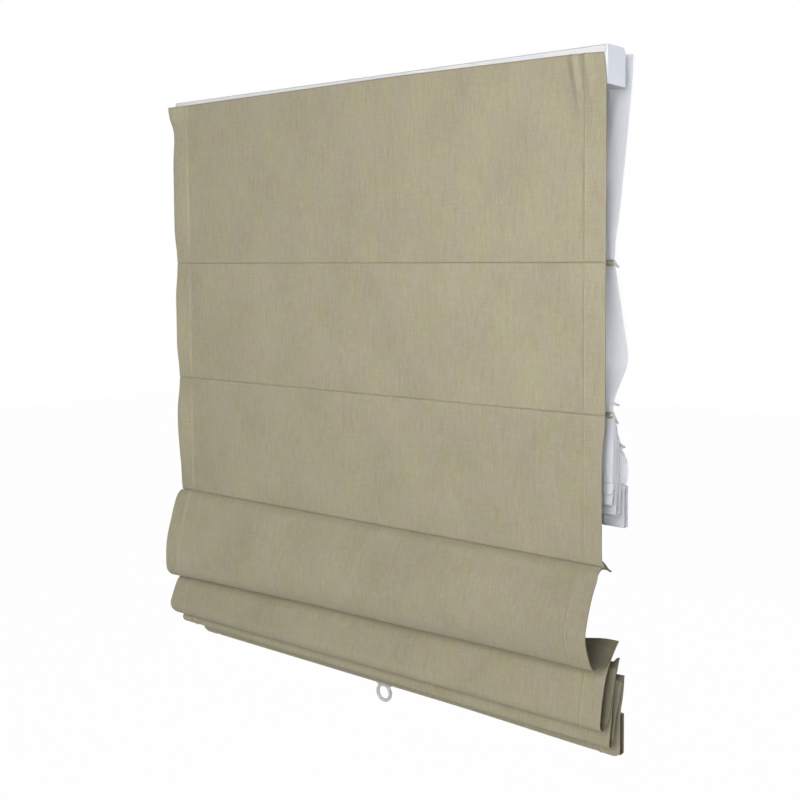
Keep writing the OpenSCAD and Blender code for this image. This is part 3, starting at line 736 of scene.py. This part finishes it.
FOLD_1 = (
    [(-26.3, -645.9), (-30, -648.2), (-35.4, -654.5), (-42.3, -670.2), (-49, -690.7), (-55.1, -709.6),
     (-59.8, -728.9), (-61.5, -752), (-60.6, -772), (-55.7, -781), (-47.5, -786.5), (-37.7, -788.5),
     (-27, -782), (-15, -771), (-5.5, -761.2)],
    [(-26.3, -645.9), (-31, -647.5), (-37, -651.5), (-42, -658.5), (-53, -671.5), (-63.5, -689.5),
     (-70.4, -706.3), (-73.6, -719.5), (-71.2, -733.5), (-65.7, -748), (-59, -761), (-52, -767.8),
     (-36, -769.3), (-19, -768), (-5.5, -762.5)],
    12, 0.0,
)
FOLD_2 = (
    [(-4.6, -762.6), (-13, -773), (-24, -784.5), (-33, -794), (-40, -801), (-46, -812), (-51, -823.5),
     (-55, -833), (-54.3, -841.3), (-47, -850.1), (-37, -855.5), (-27, -851), (-18, -837), (-8, -815),
     (1, -795), (4.2, -786.4)],
    [(-5, -764.5), (-10.5, -771.5), (-15.3, -779), (-20, -788), (-24.4, -798.4), (-27.5, -809),
     (-30, -819), (-33, -834), (-34.2, -845), (-31.5, -852), (-26, -853.6), (-18.5, -848.9), (-10, -840),
     (-4.5, -821.4), (3, -800), (5, -788.5)],
    12, 8.0,
)
FOLD_3 = (
    [(6, -786.3), (4.5, -790), (0, -802), (-6, -818), (-13, -836), (-21, -850), (-28, -860),
     (-29, -866.5), (-24.5, -871.5), (-14, -873.5), (-3, -868), (5, -855), (9.5, -838), (12, -820),
     (13.2, -806.5)],
    [(6.3, -786.6), (5.4, -792), (3, -804), (-0.5, -818), (-3.5, -834), (-5.6, -850), (-9, -867),
     (-11, -878.5), (-9, -883), (-5, -882), (-1, -876), (3, -860), (8.5, -842), (12.2, -826),
     (13.6, -809)],
    11, 0.0,
)
ROWS_PER_POINT = 6


def fold_rows(fold, upper, lower, leave, enter, xs, seed):
    """Rows of one gathered fold, from its left shape to its right one, between two tucks."""
    first = (upper[0] + BEND_R, upper[1] - LAYER_HALF)
    last = (lower[0] + BEND_R, lower[1] + LAYER_HALF)
    left, right = (np.array([first, *side, last]) for side in fold[:2])
    share = ((xs + HALF_WIDTH / MM) / (2 * HALF_WIDTH / MM))[:, None, None]
    control = left[None] * (1 - share) + right[None] * share
    free = freed(xs)[:, None]
    for k, weight in enumerate((1.0, 0.75, 0.4)):
        control[:, k] += weight * free * (np.array(leave) - first)
        control[:, -1 - k] += weight * free * (np.array(enter) - last)
    rows = smooth_rows(control, ROWS_PER_POINT)
    place = np.linspace(0, 1, rows.shape[1])
    loose = blend_step(place, 0.06, 0.3) * (1 - blend_step(place, 0.7, 0.94))
    swell = unevenness(xs, np.linspace(0, 200, rows.shape[1])[None, :], seed, 1.0, 5.0)
    rows[..., 0] += 1.6 * swell * loose[None, :]
    rows[..., 1] += 2.2 * unevenness(xs, np.zeros((1, rows.shape[1])), seed + 50, 1.0, 4.0) * loose[None, :]
    return rows


def hem_route(start, bar, lead):
    """Route from the end of a tuck to the bottom hem and round the bar."""
    y, z = bar
    out = BAR_THICK / 2 + 0.65
    foot = z - BAR_HIGH - 0.65
    turn = 1.2
    front = [start, *lead, (y - out, z - 4)]
    rows = smooth_rows(np.array(front)[None], 5)[0].tolist()
    rows += drop(y - out, z - 8, foot + turn, 7)
    rows += arc((y - out + turn, foot + turn), turn, 180, 270, 5)
    rows += [(y - 2, foot), (y + 2, foot)]
    rows += arc((y + out - turn, foot + turn), turn, 270, 360, 5)
    rows += drop(y + out, foot + turn, z + 0.2, 7)
    rows += arc((y + out - turn, z + 0.5), turn, 0, 90, 5)
    rows += [(y + 1, z + 1.8), (y - out + 2.4, z + 2.4), (y - out + 1.15, z + 5)]
    return join(rows)


def front_face(finishes, ripple):
    """Two flat panels with their tucks, from the headrail to the second rod."""
    xs = columns(extra=(342, 346, 351, 353, 356, 359, 362, 365, 377, 379, 382, 384))
    first, second = FRONT_ROOTS[:2]
    plane = first[0]
    tape_z = -8

    def route(pocket):
        return join(
            drop(plane, tape_z, first[1] + BEND), into_tuck(first), pocket(first), out_of_tuck(first),
            drop(plane, first[1] - BEND, second[1] + BEND), into_tuck(second), pocket(second),
        )

    along = route(tuck)
    rows = rows_between(xs, along, route(open_pocket))
    top = np.interp(xs, (-400, -372, -198, 79, 335, 391, 400), (-9.6, -7, -6.4, -5.3, -7.9, -9.5, -10))
    above = np.clip((rows[..., 1] - (first[1] + BEND)) / (tape_z - first[1] - BEND), 0, 1)
    rows[..., 1] += (top[:, None] - tape_z) * above**3
    plain = hanging_rows(along, FRONT_ROOTS[:2])
    hung = panel_share(along, (first, second))
    bow = blend_step(-xs, *LEFT_BOW)[:, None]
    rows[..., 0] += ripple * unevenness(xs, along[None, :, 1], FACE_SEED) * hung
    rows[..., 0] -= 4.5 * bow * hung
    down = np.clip(-rows[..., 1], 0, None)
    flat = 1 - plain
    curl = np.interp(down, (0, 10.5, 16, 28.7, 41.3, 49.3, 62), (12.8, 12.8, 12.5, 9.7, 3.7, 1.6, 0))
    rows[..., 0] -= curl * bow**1.2 * flat
    groove = 362 + 8 * np.clip((down - 18) / 41, -0.4, 1)
    fade = np.exp(-((np.clip(down - 42, 0, None) / 34) ** 2)) * blend_step(down, 2, 14) * flat
    beside = xs[:, None] - groove
    rows[..., 0] -= fade * (3.4 * mound(beside, -8, 5) + 2.6 * mound(beside, 9, 6))
    drawn = np.interp(down, (5, 10, 20, 35, 48), (4.8, 4.2, 2.0, 0.8, 0)) * flat
    pulled = -drawn * blend_step(xs, *TOP_NARROWS)[:, None]
    holes = eyelet_rows(rows, first) + eyelet_rows(rows, second)
    piece, long, skin = cloth_mesh("front_face_linen", xs, rows, 0.0, plain, holes, pulled)
    seams = [line for low, high in ((-258, -36), (-448, -272))
             for line in side_seams(xs, skin, (along[:, 1] > low) & (along[:, 1] < high))]
    hang(piece, riding(ROOT), finishes, "front_face_cloth",
         seams)
    return long


def panel_share(route, roots):
    """0 at each rod line and at the tape, rising to 1 on the loose middle of a panel."""
    z = route[:, 1]
    loose = blend_step(-z, 34, 110)
    for root in roots:
        loose = loose * blend_step(np.abs(z - root[1]), 4, 60)
    return loose


def front_lower(finishes, ripple, above):
    """The flat panel above the gathered folds."""
    xs = columns()
    second, third = FRONT_ROOTS[1:3]
    route = join(out_of_tuck(second), drop(second[0], second[1] - BEND, third[1] + BEND), into_tuck(third))
    rows = spread(route, xs)
    hung = panel_share(route, (second, third))
    rows[..., 0] += ripple * unevenness(xs, route[None, :, 1], LOWER_SEED) * hung
    bowed = hung * (1 - blend_step(-route[:, 1], 530, 625))
    rows[..., 0] -= 6.0 * np.outer(blend_step(-xs, *LEFT_BOW), bowed)
    ease(rows, xs, (third[0] + BEND_R, third[1] + LAYER_HALF), FRONT_ENDS[0][0])
    plain = hanging_rows(route, (second, third))
    below_rod = blend_step(-route[:, 1], 466, 510) * (1 - plain)
    narrowed = -4.0 * np.outer(blend_step(xs, *RIGHT_NARROWS), below_rod)
    piece, long, skin = cloth_mesh("front_lower_linen", xs, rows, above, plain, shift=narrowed)
    move = shortening(ROOT)
    hang(piece, move, finishes, "front_lower_panel",
         side_seams(xs, skin, slice(7, -8)))
    return above + long


def front_folds(finishes, above):
    """Three gathered folds. Each hangs from the tuck above it and turns back up to the tuck below it."""
    bodies = ("front_gather", "front_gather_2", "front_gather_3", "front_bar")
    pulls = (
        ((0, -33.0, 0), (0, -3.4, 0)), ((0, 0, -849.0), (0, 0, -785.2)), ((0, 0, -868.0), (0, 0, -808.2)),
    )
    xs = columns()
    for k, (fold, pull) in enumerate(zip((FOLD_1, FOLD_2, FOLD_3), pulls)):
        # Painted shade inside the folds: full on the first fold, a quarter on the two lower ones.
        narrows, inner_shade = (2.4, 1.0) if k == 0 else (0.0, 0.25)
        upper, lower = FRONT_ROOTS[k + 2], FRONT_ROOTS[k + 3]
        inside = rows_between(xs, tuck(upper), fan(FRONT_ENDS[k]))
        gape = np.interp(np.arange(inside.shape[1]), (0, 3, 7, 11, 16, 22), (0, 0.75, 1, 1, 0.3, 0))
        ends = blend_step(np.abs(xs), *POCKET_GAPES) * (1 - freed(xs))
        inside[..., 1] += fold[3] * np.outer(ends, gape)
        below = fold_rows(fold, upper, lower, FRONT_ENDS[k][2], FRONT_ENDS[k + 1][0], xs, FOLD_SEED + k)
        rows = np.concatenate([inside, below[:, 1:]], axis=1)
        first = inside.shape[1]
        count = np.arange(rows.shape[1])
        plain = 1 - blend_step(count, first, first + 9)
        turn = first - 1 + ROWS_PER_POINT * fold[2]
        below_rod = (1 - plain) * (1 - blend_step(count, first + 12, first + 40))
        narrowed = -narrows * np.outer(blend_step(xs, *RIGHT_NARROWS), below_rod)
        node = f"front_fold_{k + 1}"
        piece, long, skin = cloth_mesh(node + "_linen", xs, rows, above, plain, eyelet_rows(rows, upper),
                                       narrowed, slice(0, turn + 1))
        hang(piece, riding(bodies[k]), finishes, node,
             side_seams(xs, skin, slice(first + 8, None)))
        piece, rest, skin = cloth_mesh(f"front_return_{k + 1}_linen", xs, rows, above, plain, [],
                                       narrowed, slice(turn, None), inner_shade)
        hang(piece, bending(bodies[k], bodies[k + 1], *pull), finishes, node,
             side_seams(xs, skin))
        above += long + rest
    return above


def front_hem(finishes, above):
    """The last tuck, the flat hem and the pocket of the bottom bar."""
    xs = columns()
    root, end = FRONT_ROOTS[5], FRONT_ENDS[3]
    lead = [(root[0] + 0.3, root[1] - 1.6), (root[0] - 0.2, root[1] - 5), (root[0] + 0.4, root[1] - 18),
            (root[0] + 3.0, root[1] - 34)]
    free_lead = [(28.4, -811.5), (27.6, -817.0), (24.8, -829.0), (20.5, -842.0)]
    along = join(tuck(root), hem_route((root[0] + BEND_R, root[1] - LAYER_HALF), FRONT_BAR, lead))
    rows = rows_between(xs, along, join(fan(end), hem_route(end[2], FRONT_BAR, free_lead)))
    foot = FRONT_BAR[1] - BAR_HIGH
    sag = 3.2 * blend_step(xs, 120, 385) - 3.6 * freed(xs) ** 2
    rows[..., 1] -= sag[:, None] * (1 - blend_step(rows[..., 1], foot, foot + 14))
    plain = (along[:, 1] > root[1] - 3.5).astype(float)
    piece, long, skin = cloth_mesh("front_hem_linen", xs, rows, above, plain, eyelet_rows(rows, root))
    front = np.flatnonzero((along[:, 0] < FRONT_BAR[0] - 3) & (along[:, 1] < root[1] - 12))
    across = front[int(np.argmin(np.abs(along[front, 1] - FRONT_BAR[1] - 4)))]
    hang(piece, riding("front_bar"), finishes, "front_hem_cloth",
         [*side_seams(xs, skin, front), skin[4:-4, across]])


class BLIND_OT_front_shade(Operator):
    """Makes the front shade: flat panels, gathered folds and hem of slub linen"""

    bl_idname = "blind.front_shade"
    bl_label = "Front shade"

    def execute(self, context):
        finishes = linen_finish(), thread_finish("linen_thread", context.scene.blind_colours.thread)
        ripple = context.scene.blind_sizes.ripple / MM
        above = front_face(finishes, ripple)
        above = front_lower(finishes, ripple, above)
        above = front_folds(finishes, above)
        front_hem(finishes, above)
        return {"FINISHED"}


def side_flare(xs, left=0.6):
    """0 between the lift cords, rising to 1 at the right side and less at the left."""
    return blend_step(xs, *LINER_SWELLS) + left * blend_step(-xs, *LINER_SWELLS)


def rear_hanging(finishes):
    """Heading behind the headrail, the first panel and the first tuck."""
    xs = columns(extra=(346, 350, 353, 356, 359, 362, 365, 377, 380, 383, 386))
    top, foot = REAR_HEADING
    root = REAR_ROOTS[0]
    flare = side_flare(xs)[:, None]
    heights = [-262, -237, -188, -125, -75, -42, -24, -4]
    offsets = [0, 0.4, 6, 10.6, 13, 15.3, 17.7, 18]
    rows = spread(join(drop(top[0], top[1], foot[1], 4)), xs)
    rows[..., 0] += flare * np.interp(rows[..., 1], heights, offsets)
    piece, long, skin = cloth_mesh("rear_heading_liner", xs, rows)
    above = long
    hang(piece, riding(ROOT), finishes, "rear_hanging_cloth",
         side_seams(xs, skin))
    route = join(np.linspace(foot, (root[0], root[1] + BEND), 38), into_tuck(root))
    rows = spread(route, xs)
    rows[..., 0] += flare * np.interp(rows[..., 1], heights, offsets)
    loose = blend_step(-route[:, 1], 60, 120) * (1 - blend_step(-route[:, 1], 215, 258))
    rows[..., 0] -= 0.8 * np.abs(unevenness(xs, route[None, :, 1], LINER_SEED)) * loose
    down = -route[:, 1]
    slack = blend_step(down, 46, 62) * (1 - blend_step(down, 96, 180))
    for middle, height, width in ((360, -2.6, 4.5), (369, 1.6, 4.0), (383, -1.6, 5.0)):
        rows[..., 0] += height * slack * mound(xs[:, None] + 0.08 * (down - 60), middle, width)
    ease(rows, xs, (root[0] + BEND_R, root[1] + LAYER_HALF), REAR_ENDS[0][0])
    piece, long, skin = cloth_mesh("rear_first_liner", xs, rows, above)
    above += long
    move = shortening(ROOT)
    hang(piece, move, finishes, "rear_hanging_cloth",
         side_seams(xs, skin, slice(0, -6)))
    rows = rows_between(xs, tuck(root), fan(REAR_ENDS[0]))
    piece, long, _ = cloth_mesh("rear_tuck_1_liner", xs, rows, above, np.ones(rows.shape[1]),
                                eyelet_rows(rows, root))
    hang(piece, riding("rear_first_rod"), finishes, "rear_hanging_cloth")
    return above + long


def rear_second(finishes, above):
    """The second panel, which swells towards the window beside the lift cords."""
    xs = columns()
    upper, lower = REAR_ROOTS[:2]
    line = np.linspace((upper[0], upper[1] - BEND), (lower[0], lower[1] + BEND), 44)
    rows = spread(join(out_of_tuck(upper), line, into_tuck(lower)), xs)
    heights = [-441, -437, -428, -416, -403, -396, -391, -384, -375, -344, -300, -272, -263]
    offsets = [0, 2, 9, 19.5, 31, 35.6, 37.5, 37.5, 35.5, 25.5, 12, 3.5, 0]
    rows[..., 0] += side_flare(xs)[:, None] ** 1.2 * np.interp(rows[..., 1], heights, offsets)
    ease(rows, xs, (upper[0] + BEND_R, upper[1] - LAYER_HALF), REAR_ENDS[0][2])
    ease(rows, xs, (lower[0] + BEND_R, lower[1] + LAYER_HALF), REAR_ENDS[1][0])
    piece, long, skin = cloth_mesh("rear_second_liner", xs, rows, above)
    move = shortening("rear_first_rod")
    hang(piece, move, finishes, "rear_hanging_cloth",
         side_seams(xs, skin, slice(7, -12)))
    return above + long


def stack_route(free):
    """Route through the gathered stack, along the rods or at the free ends of the cloth."""
    runs = []
    ends = []
    for root, end in zip(REAR_ROOTS, REAR_ENDS):
        y, z = root
        plain_end = ((y + BEND_R, z + LAYER_HALF), root, (y + BEND_R, z - LAYER_HALF))
        ends.append((fan(end), end) if free else (tuck(root), plain_end))
    for k in range(1, 5):
        pocket, (_, _, leave) = ends[k]
        enter = ends[k + 1][1][0]
        front, rear = REAR_ROOTS[k][0] + 0.2, REAR_ROOTS[k + 1][0] - 1.5
        turn = (rear - front) / 2
        foot = REAR_ROOTS[k][1] - LOOP_DROP + turn
        runs.append(pocket)
        runs.append([(leave[0] - 0.6, leave[1] - 0.35), (front, leave[1] - 1.65)])
        runs.append([(front, z) for z in np.linspace(leave[1] - 4.4, foot, 13)])
        runs.append(arc((front + turn, foot), turn, 180, 360, 8))
        runs.append([(rear, z) for z in np.linspace(foot, enter[1] - 3.5, 12)])
        runs.append([(rear + 0.25, enter[1] - 1.35), (enter[0] - 1.6, enter[1] - 0.2)])
    y, z = REAR_ROOTS[5]
    pocket, (_, _, leave) = ends[5]
    if free:
        lead = [(leave[0] + 2.5, leave[1] - 2.2), (leave[0] + 8, leave[1] - 8.5), (35, -524), (35.5, -538)]
    else:
        lead = [(leave[0] - 0.9, leave[1] - 0.9), (leave[0] - 1, leave[1] - 4.5),
                (y + 3, z - 18), (y + 7, z - 38)]
    return join(*runs, pocket, hem_route(leave, REAR_BAR, lead))


def rear_stack(finishes, above):
    """The gathered stack: four loops between five tucks, then the hem."""
    xs = columns(step=8.0)
    along = stack_route(False)
    rows = rows_between(xs, along, stack_route(True))
    swing = blend_step(-along[:, 1], 534, 576) * (1 - blend_step(along[:, 0], 4, 17))
    rows[..., 0] -= 13.0 * np.outer(side_flare(xs, 0.4), swing)
    holes = [pair for root in REAR_ROOTS[1:] for pair in eyelet_rows(rows, root)]
    piece, long, skin = cloth_mesh("rear_gathered_liner", xs, rows, above, None, holes)
    front = np.flatnonzero((along[:, 0] < REAR_BAR[0] - 3) & (along[:, 1] < -512))[-12:]
    hang(piece, riding("rear_bar"), finishes, "rear_gathered_cloth",
         [skin[4:-4, front[0]]])


class BLIND_OT_rear_shade(Operator):
    """Makes the rear shade: hanging panels and the gathered stack of white liner"""

    bl_idname = "blind.rear_shade"
    bl_label = "Rear shade"

    def execute(self, context):
        finishes = liner_finish(), thread_finish("liner_thread", context.scene.blind_colours.liner)
        above = rear_hanging(finishes)
        above = rear_second(finishes, above)
        rear_stack(finishes, above)
        return {"FINISHED"}


def hanging_cord(rail_cords, roots, bar):
    """Route of the lift cords of one shade from the headrail through its eyelets to its bar."""
    top = (rail_cords[0][-1][1], CORD_TOP)
    return [top, *((y + EYELET_BACK, z) for y, z in roots), (bar[0], bar[1] - CORD_IN_BAR)]


def lead_cord(piece, move, braid):
    """Finish, motion and CAD node of one stretch of cord."""
    piece.data.materials.append(braid)
    move(piece)
    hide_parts(piece.name.split("_")[0] + "_lift_cords")


def cord_tube(name, lines, beside, sides=10, step=12.0):
    """Closed cord tubes along lines of points in millimetres, with a UV map round and along them.
    beside is a direction square to every stretch of the lines."""
    radius = bpy.context.scene.blind_sizes.cord_r
    points, polygons, flat = [], [], []
    for corners in lines:
        corners = np.array(corners, float) * MM
        line = [corners[0]]
        for a, b in zip(corners, corners[1:]):
            count = max(1, int(np.linalg.norm(b - a) / MM / step))
            line += [a + (b - a) * (k + 1) / count for k in range(count)]
        line = np.array(line)
        along = np.gradient(line, axis=0)
        along /= np.linalg.norm(along, axis=1, keepdims=True)
        length = np.concatenate([[0], np.cumsum(np.linalg.norm(np.diff(line, axis=0), axis=1))])
        base = len(points)
        for spot, ahead in zip(line, along):
            over = np.cross(beside, ahead)
            for s in range(sides):
                a = 2 * math.pi * s / sides
                points.append(tuple(spot + radius * (math.cos(a) * np.array(beside) + math.sin(a) * over)))
        for k in range(len(line) - 1):
            for s in range(sides):
                n = (s + 1) % sides
                polygons.append((base + k * sides + s, base + k * sides + n,
                                 base + (k + 1) * sides + n, base + (k + 1) * sides + s))
                u = 2 * math.pi * radius / sides
                flat += [(s * u, length[k]), ((s + 1) * u, length[k]), ((s + 1) * u, length[k + 1]),
                         (s * u, length[k + 1])]
        last = base + (len(line) - 1) * sides
        polygons.append(tuple(base + s for s in reversed(range(sides))))
        polygons.append(tuple(last + s for s in range(sides)))
        flat += [(0.0, 0.0)] * (2 * sides)
    return new_piece(name, points, polygons, "Cord", flat)


class BLIND_OT_lift_cords(Operator):
    """Makes the braided lift cords of both shades along their routes"""

    bl_idname = "blind.lift_cords"
    bl_label = "Lift cords"

    def execute(self, context):
        braid = braid_finish()
        for name, lines in (("front_cord_rail", FRONT_RAIL_CORDS), ("rear_cord_rail", REAR_RAIL_CORDS)):
            piece = cord_tube(name, [[(x, y, CORD_TOP) for x, y in line] for line in lines], (0.0, 0.0, 1.0))
            lead_cord(piece, riding(ROOT), braid)
        front = hanging_cord(FRONT_RAIL_CORDS, FRONT_ROOTS, FRONT_BAR)
        rear = hanging_cord(REAR_RAIL_CORDS, REAR_ROOTS, REAR_BAR)
        runs = (
            ("front_cord_upper", front[:3], ROOT, None),
            ("front_cord_lower", front[2:4], ROOT, "front_gather"),
            ("front_cord_fold_1", front[3:5], "front_gather", "front_gather_2"),
            ("front_cord_fold_2", front[4:6], "front_gather_2", "front_gather_3"),
            ("front_cord_fold_3", front[5:7], "front_gather_3", "front_bar"),
            ("front_cord_end", front[6:], "front_bar", None),
            ("rear_cord_upper", rear[:2], ROOT, "rear_first_rod"),
            ("rear_cord_second", rear[1:3], "rear_first_rod", "rear_bar"),
            ("rear_cord_end", rear[2:], "rear_bar", None),
        )
        for name, route, upper, lower in runs:
            lines = [[(side * CORD_X, y, z) for y, z in route] for side in (-1, 1)]
            move = bending(upper, lower, (0, *route[0]), (0, *route[-1])) if lower else riding(upper)
            lead_cord(cord_tube(name, lines, (1.0, 0.0, 0.0)), move, braid)
        return {"FINISHED"}


class BLIND_OT_hardware(Operator):
    """Gives the headrail, caps, motors, rods and rings their finishes"""

    bl_idname = "blind.hardware"
    bl_label = "Hardware finishes"

    def execute(self, context):
        colours = context.scene.blind_colours
        # Painted shade lines on the headrail: a dark line along its top lip and one where it meets each end
        # cap.
        rail_shade_lines = (("Z", 1.7, 0.7), ("X", 396.4, 397.2))
        coat = moulded_finish("white_coat", colours.coat, 0.34, 900.0, 0.05, 0.03, rail_shade_lines)
        cap = moulded_finish("cap_plastic", colours.cap, 0.42, 1600.0, 0.04, 0.03)
        clear = moulded_finish("clear_plastic", (0.66, 0.66, 0.68), 0.16, 400.0, 0.02, 0.03,
                               Transmission_Weight=0.5, IOR=1.49)
        ivory = moulded_finish("ivory_plastic", (0.78, 0.75, 0.66), 0.45, 1400.0, 0.05)
        dark = moulded_finish("motor_plastic", (0.075, 0.08, 0.085), 0.5, 1800.0, 0.06)
        steel = moulded_finish("spring_steel", (0.56, 0.57, 0.6), 0.3, 2600.0, 0.02, 0.12, Metallic=1.0)
        tape = moulded_finish("hook_tape", (0.76, 0.76, 0.75), 0.9, 2200.0, 0.4)
        fibre = moulded_finish("rod_fibre", (0.78, 0.78, 0.74), 0.35, 1200.0, 0.03)
        white = moulded_finish("white_plastic", (0.82, 0.82, 0.82), 0.35, 1500.0, 0.03)
        named = {
            "headrail": coat, "bottom_bar": coat, "end_cap": cap, "pull_ring": clear, "spring": steel,
            "brackets": steel, "housing": dark, "cover": dark, "tape": tape, "rod": fibre, "eyelet": white,
        }
        for name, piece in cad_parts.items():
            if "lift_cords" in name:
                continue
            material = next((named[word] for word in named if word in name), ivory)
            for spot in piece.material_slots:
                spot.material = material
            if not piece.material_slots:
                piece.data.materials.append(material)
        return {"FINISHED"}


def white_to_camera(tree):
    """1 for what the camera sees itself, in gloss or through clear plastic."""
    path = add(tree, "ShaderNodeLightPath").outputs
    seen = maths(tree, "MAXIMUM", path["Is Camera Ray"], path["Is Glossy Ray"])
    return maths(tree, "MAXIMUM", seen, path["Is Transmission Ray"])


def stage_floor(stage):
    """A wide pale floor, white to the camera apart from a soft shadow."""
    size, z = 8.0, stage.floor_z
    corners = [(-size, -size, z), (size, -size, z), (size, size, z), (-size, size, z)]
    mesh = bpy.data.meshes.new("floor")
    mesh.from_pydata(corners, [], [(0, 1, 2, 3)])
    floor = bpy.data.objects.new("floor", mesh)
    bpy.context.scene.collection.objects.link(floor)
    material, tree, shader = finish("pale_floor", Roughness=0.9, Base_Color=(0.94, 0.94, 0.94, 1.0),
                                    Specular_IOR_Level=0.1)
    white_share = 0.985
    glow = add(tree, "ShaderNodeEmission", {"Color": (1.0, 1.0, 1.0, 1.0), "Strength": 1.0})
    seen = maths(tree, "MULTIPLY", white_to_camera(tree), white_share)
    mixed = add(tree, "ShaderNodeMixShader", {0: seen, 1: shader.outputs[0], 2: glow.outputs[0]})
    tree.links.new(mixed.outputs[0], tree.nodes["Material Output"].inputs["Surface"])
    mesh.materials.append(material)


def stage_light(name, place, aim, size, power, spread=180):
    """A square soft light aimed at a point, with the angle in degrees over which it spreads."""
    lamp = bpy.data.lights.new(name, "AREA")
    lamp.spread = math.radians(spread)
    lamp.energy, lamp.size = power, size
    piece = bpy.data.objects.new(name, lamp)
    piece.location = place
    piece.rotation_euler = (Vector(aim) - Vector(place)).to_track_quat("-Z", "Y").to_euler()
    bpy.context.scene.collection.objects.link(piece)


def stage_sky(scene, stage):
    """Even light all round, white behind the object."""
    world = bpy.data.worlds.new("studio")
    scene.world = world
    world.use_nodes = True
    tree = world.node_tree
    ground = tree.nodes["Background"]
    ground.inputs["Color"].default_value = (1.0, 1.0, 1.0, 1.0)
    strength = ranged(tree, white_to_camera(tree), 0.0, 1.0, stage.sky, 1.0)
    tree.links.new(strength, ground.inputs["Strength"])


def stage_camera(scene):
    """The view of the photograph, from the right and a little above the middle."""
    yaw, pitch, roll = math.radians(38.741), math.radians(3.799), math.radians(-0.411)
    right = Vector((math.cos(yaw), math.sin(yaw), 0))
    ahead = Vector((-math.sin(yaw) * math.cos(pitch), math.cos(yaw) * math.cos(pitch), -math.sin(pitch)))
    up = right.cross(ahead)
    across = math.cos(roll) * right + math.sin(roll) * up
    upward = -math.sin(roll) * right + math.cos(roll) * up
    lens = bpy.data.cameras.new("camera")
    lens.sensor_width, lens.lens = 36.0, 50.4
    lens.shift_x, lens.shift_y = -0.0018, -0.0869
    lens.clip_start, lens.clip_end = 0.05, 60.0
    camera = bpy.data.objects.new("camera", lens)
    place = Matrix((across, upward, -ahead)).transposed().to_4x4()
    place.translation = Vector((1.0641, -1.2541, -0.2555))
    camera.matrix_world = place
    scene.collection.objects.link(camera)
    scene.camera = camera


class BLIND_OT_stage(Operator):
    """Sets the floor, the soft studio light and the camera"""

    bl_idname = "blind.stage"
    bl_label = "Studio stage"

    def execute(self, context):
        stage = context.scene.blind_stage
        stage_floor(stage)
        stage_light("key_light", (0.9, -2.7, 0.4), (0.0, 0.0, -0.45), 1.5, stage.key_power)
        stage_light("side_light", (2.3, -0.75, -0.05), (0.4, 0.0, -0.235), 0.4, stage.side_power, 30)
        stage_light("back_light", (-0.8, 2.8, 0.2), (0.0, 0.0, -0.4), 2.0, stage.back_power)
        stage_sky(context.scene, stage)
        stage_camera(context.scene)
        context.scene.view_settings.view_transform = "Standard"
        return {"FINISHED"}


OPERATORS = (
    BLIND_OT_stage, BLIND_OT_lift_cords, BLIND_OT_front_shade, BLIND_OT_rear_shade, BLIND_OT_hardware,
)


class BLIND_PT_sidebar(Panel):
    """Lists the steps that build the blind, with its sizes and colours"""

    bl_idname = "BLIND_PT_sidebar"
    bl_label = "Roman blind"
    bl_space_type = "VIEW_3D"
    bl_region_type = "UI"
    bl_category = "Blind"

    def draw(self, context):
        for kind in OPERATORS:
            self.layout.operator(kind.bl_idname)
        for group in (context.scene.blind_sizes, context.scene.blind_colours, context.scene.blind_stage):
            for name in group.__annotations__:
                self.layout.prop(group, name)


CLASSES = (BlindSizes, BlindColours, BlindStage, *OPERATORS, BLIND_PT_sidebar)


def register():
    for kind in CLASSES:
        bpy.utils.register_class(kind)
    bpy.types.Scene.blind_sizes = PointerProperty(type=BlindSizes)
    bpy.types.Scene.blind_colours = PointerProperty(type=BlindColours)
    bpy.types.Scene.blind_stage = PointerProperty(type=BlindStage)


def unregister():
    del bpy.types.Scene.blind_stage
    del bpy.types.Scene.blind_colours
    del bpy.types.Scene.blind_sizes
    for kind in reversed(CLASSES):
        bpy.utils.unregister_class(kind)


def main():
    register()
    bpy.ops.blind.stage()
    bpy.ops.blind.lift_cords()
    bpy.ops.blind.front_shade()
    bpy.ops.blind.rear_shade()
    bpy.ops.blind.hardware()


if __name__ == "__main__":
    main()
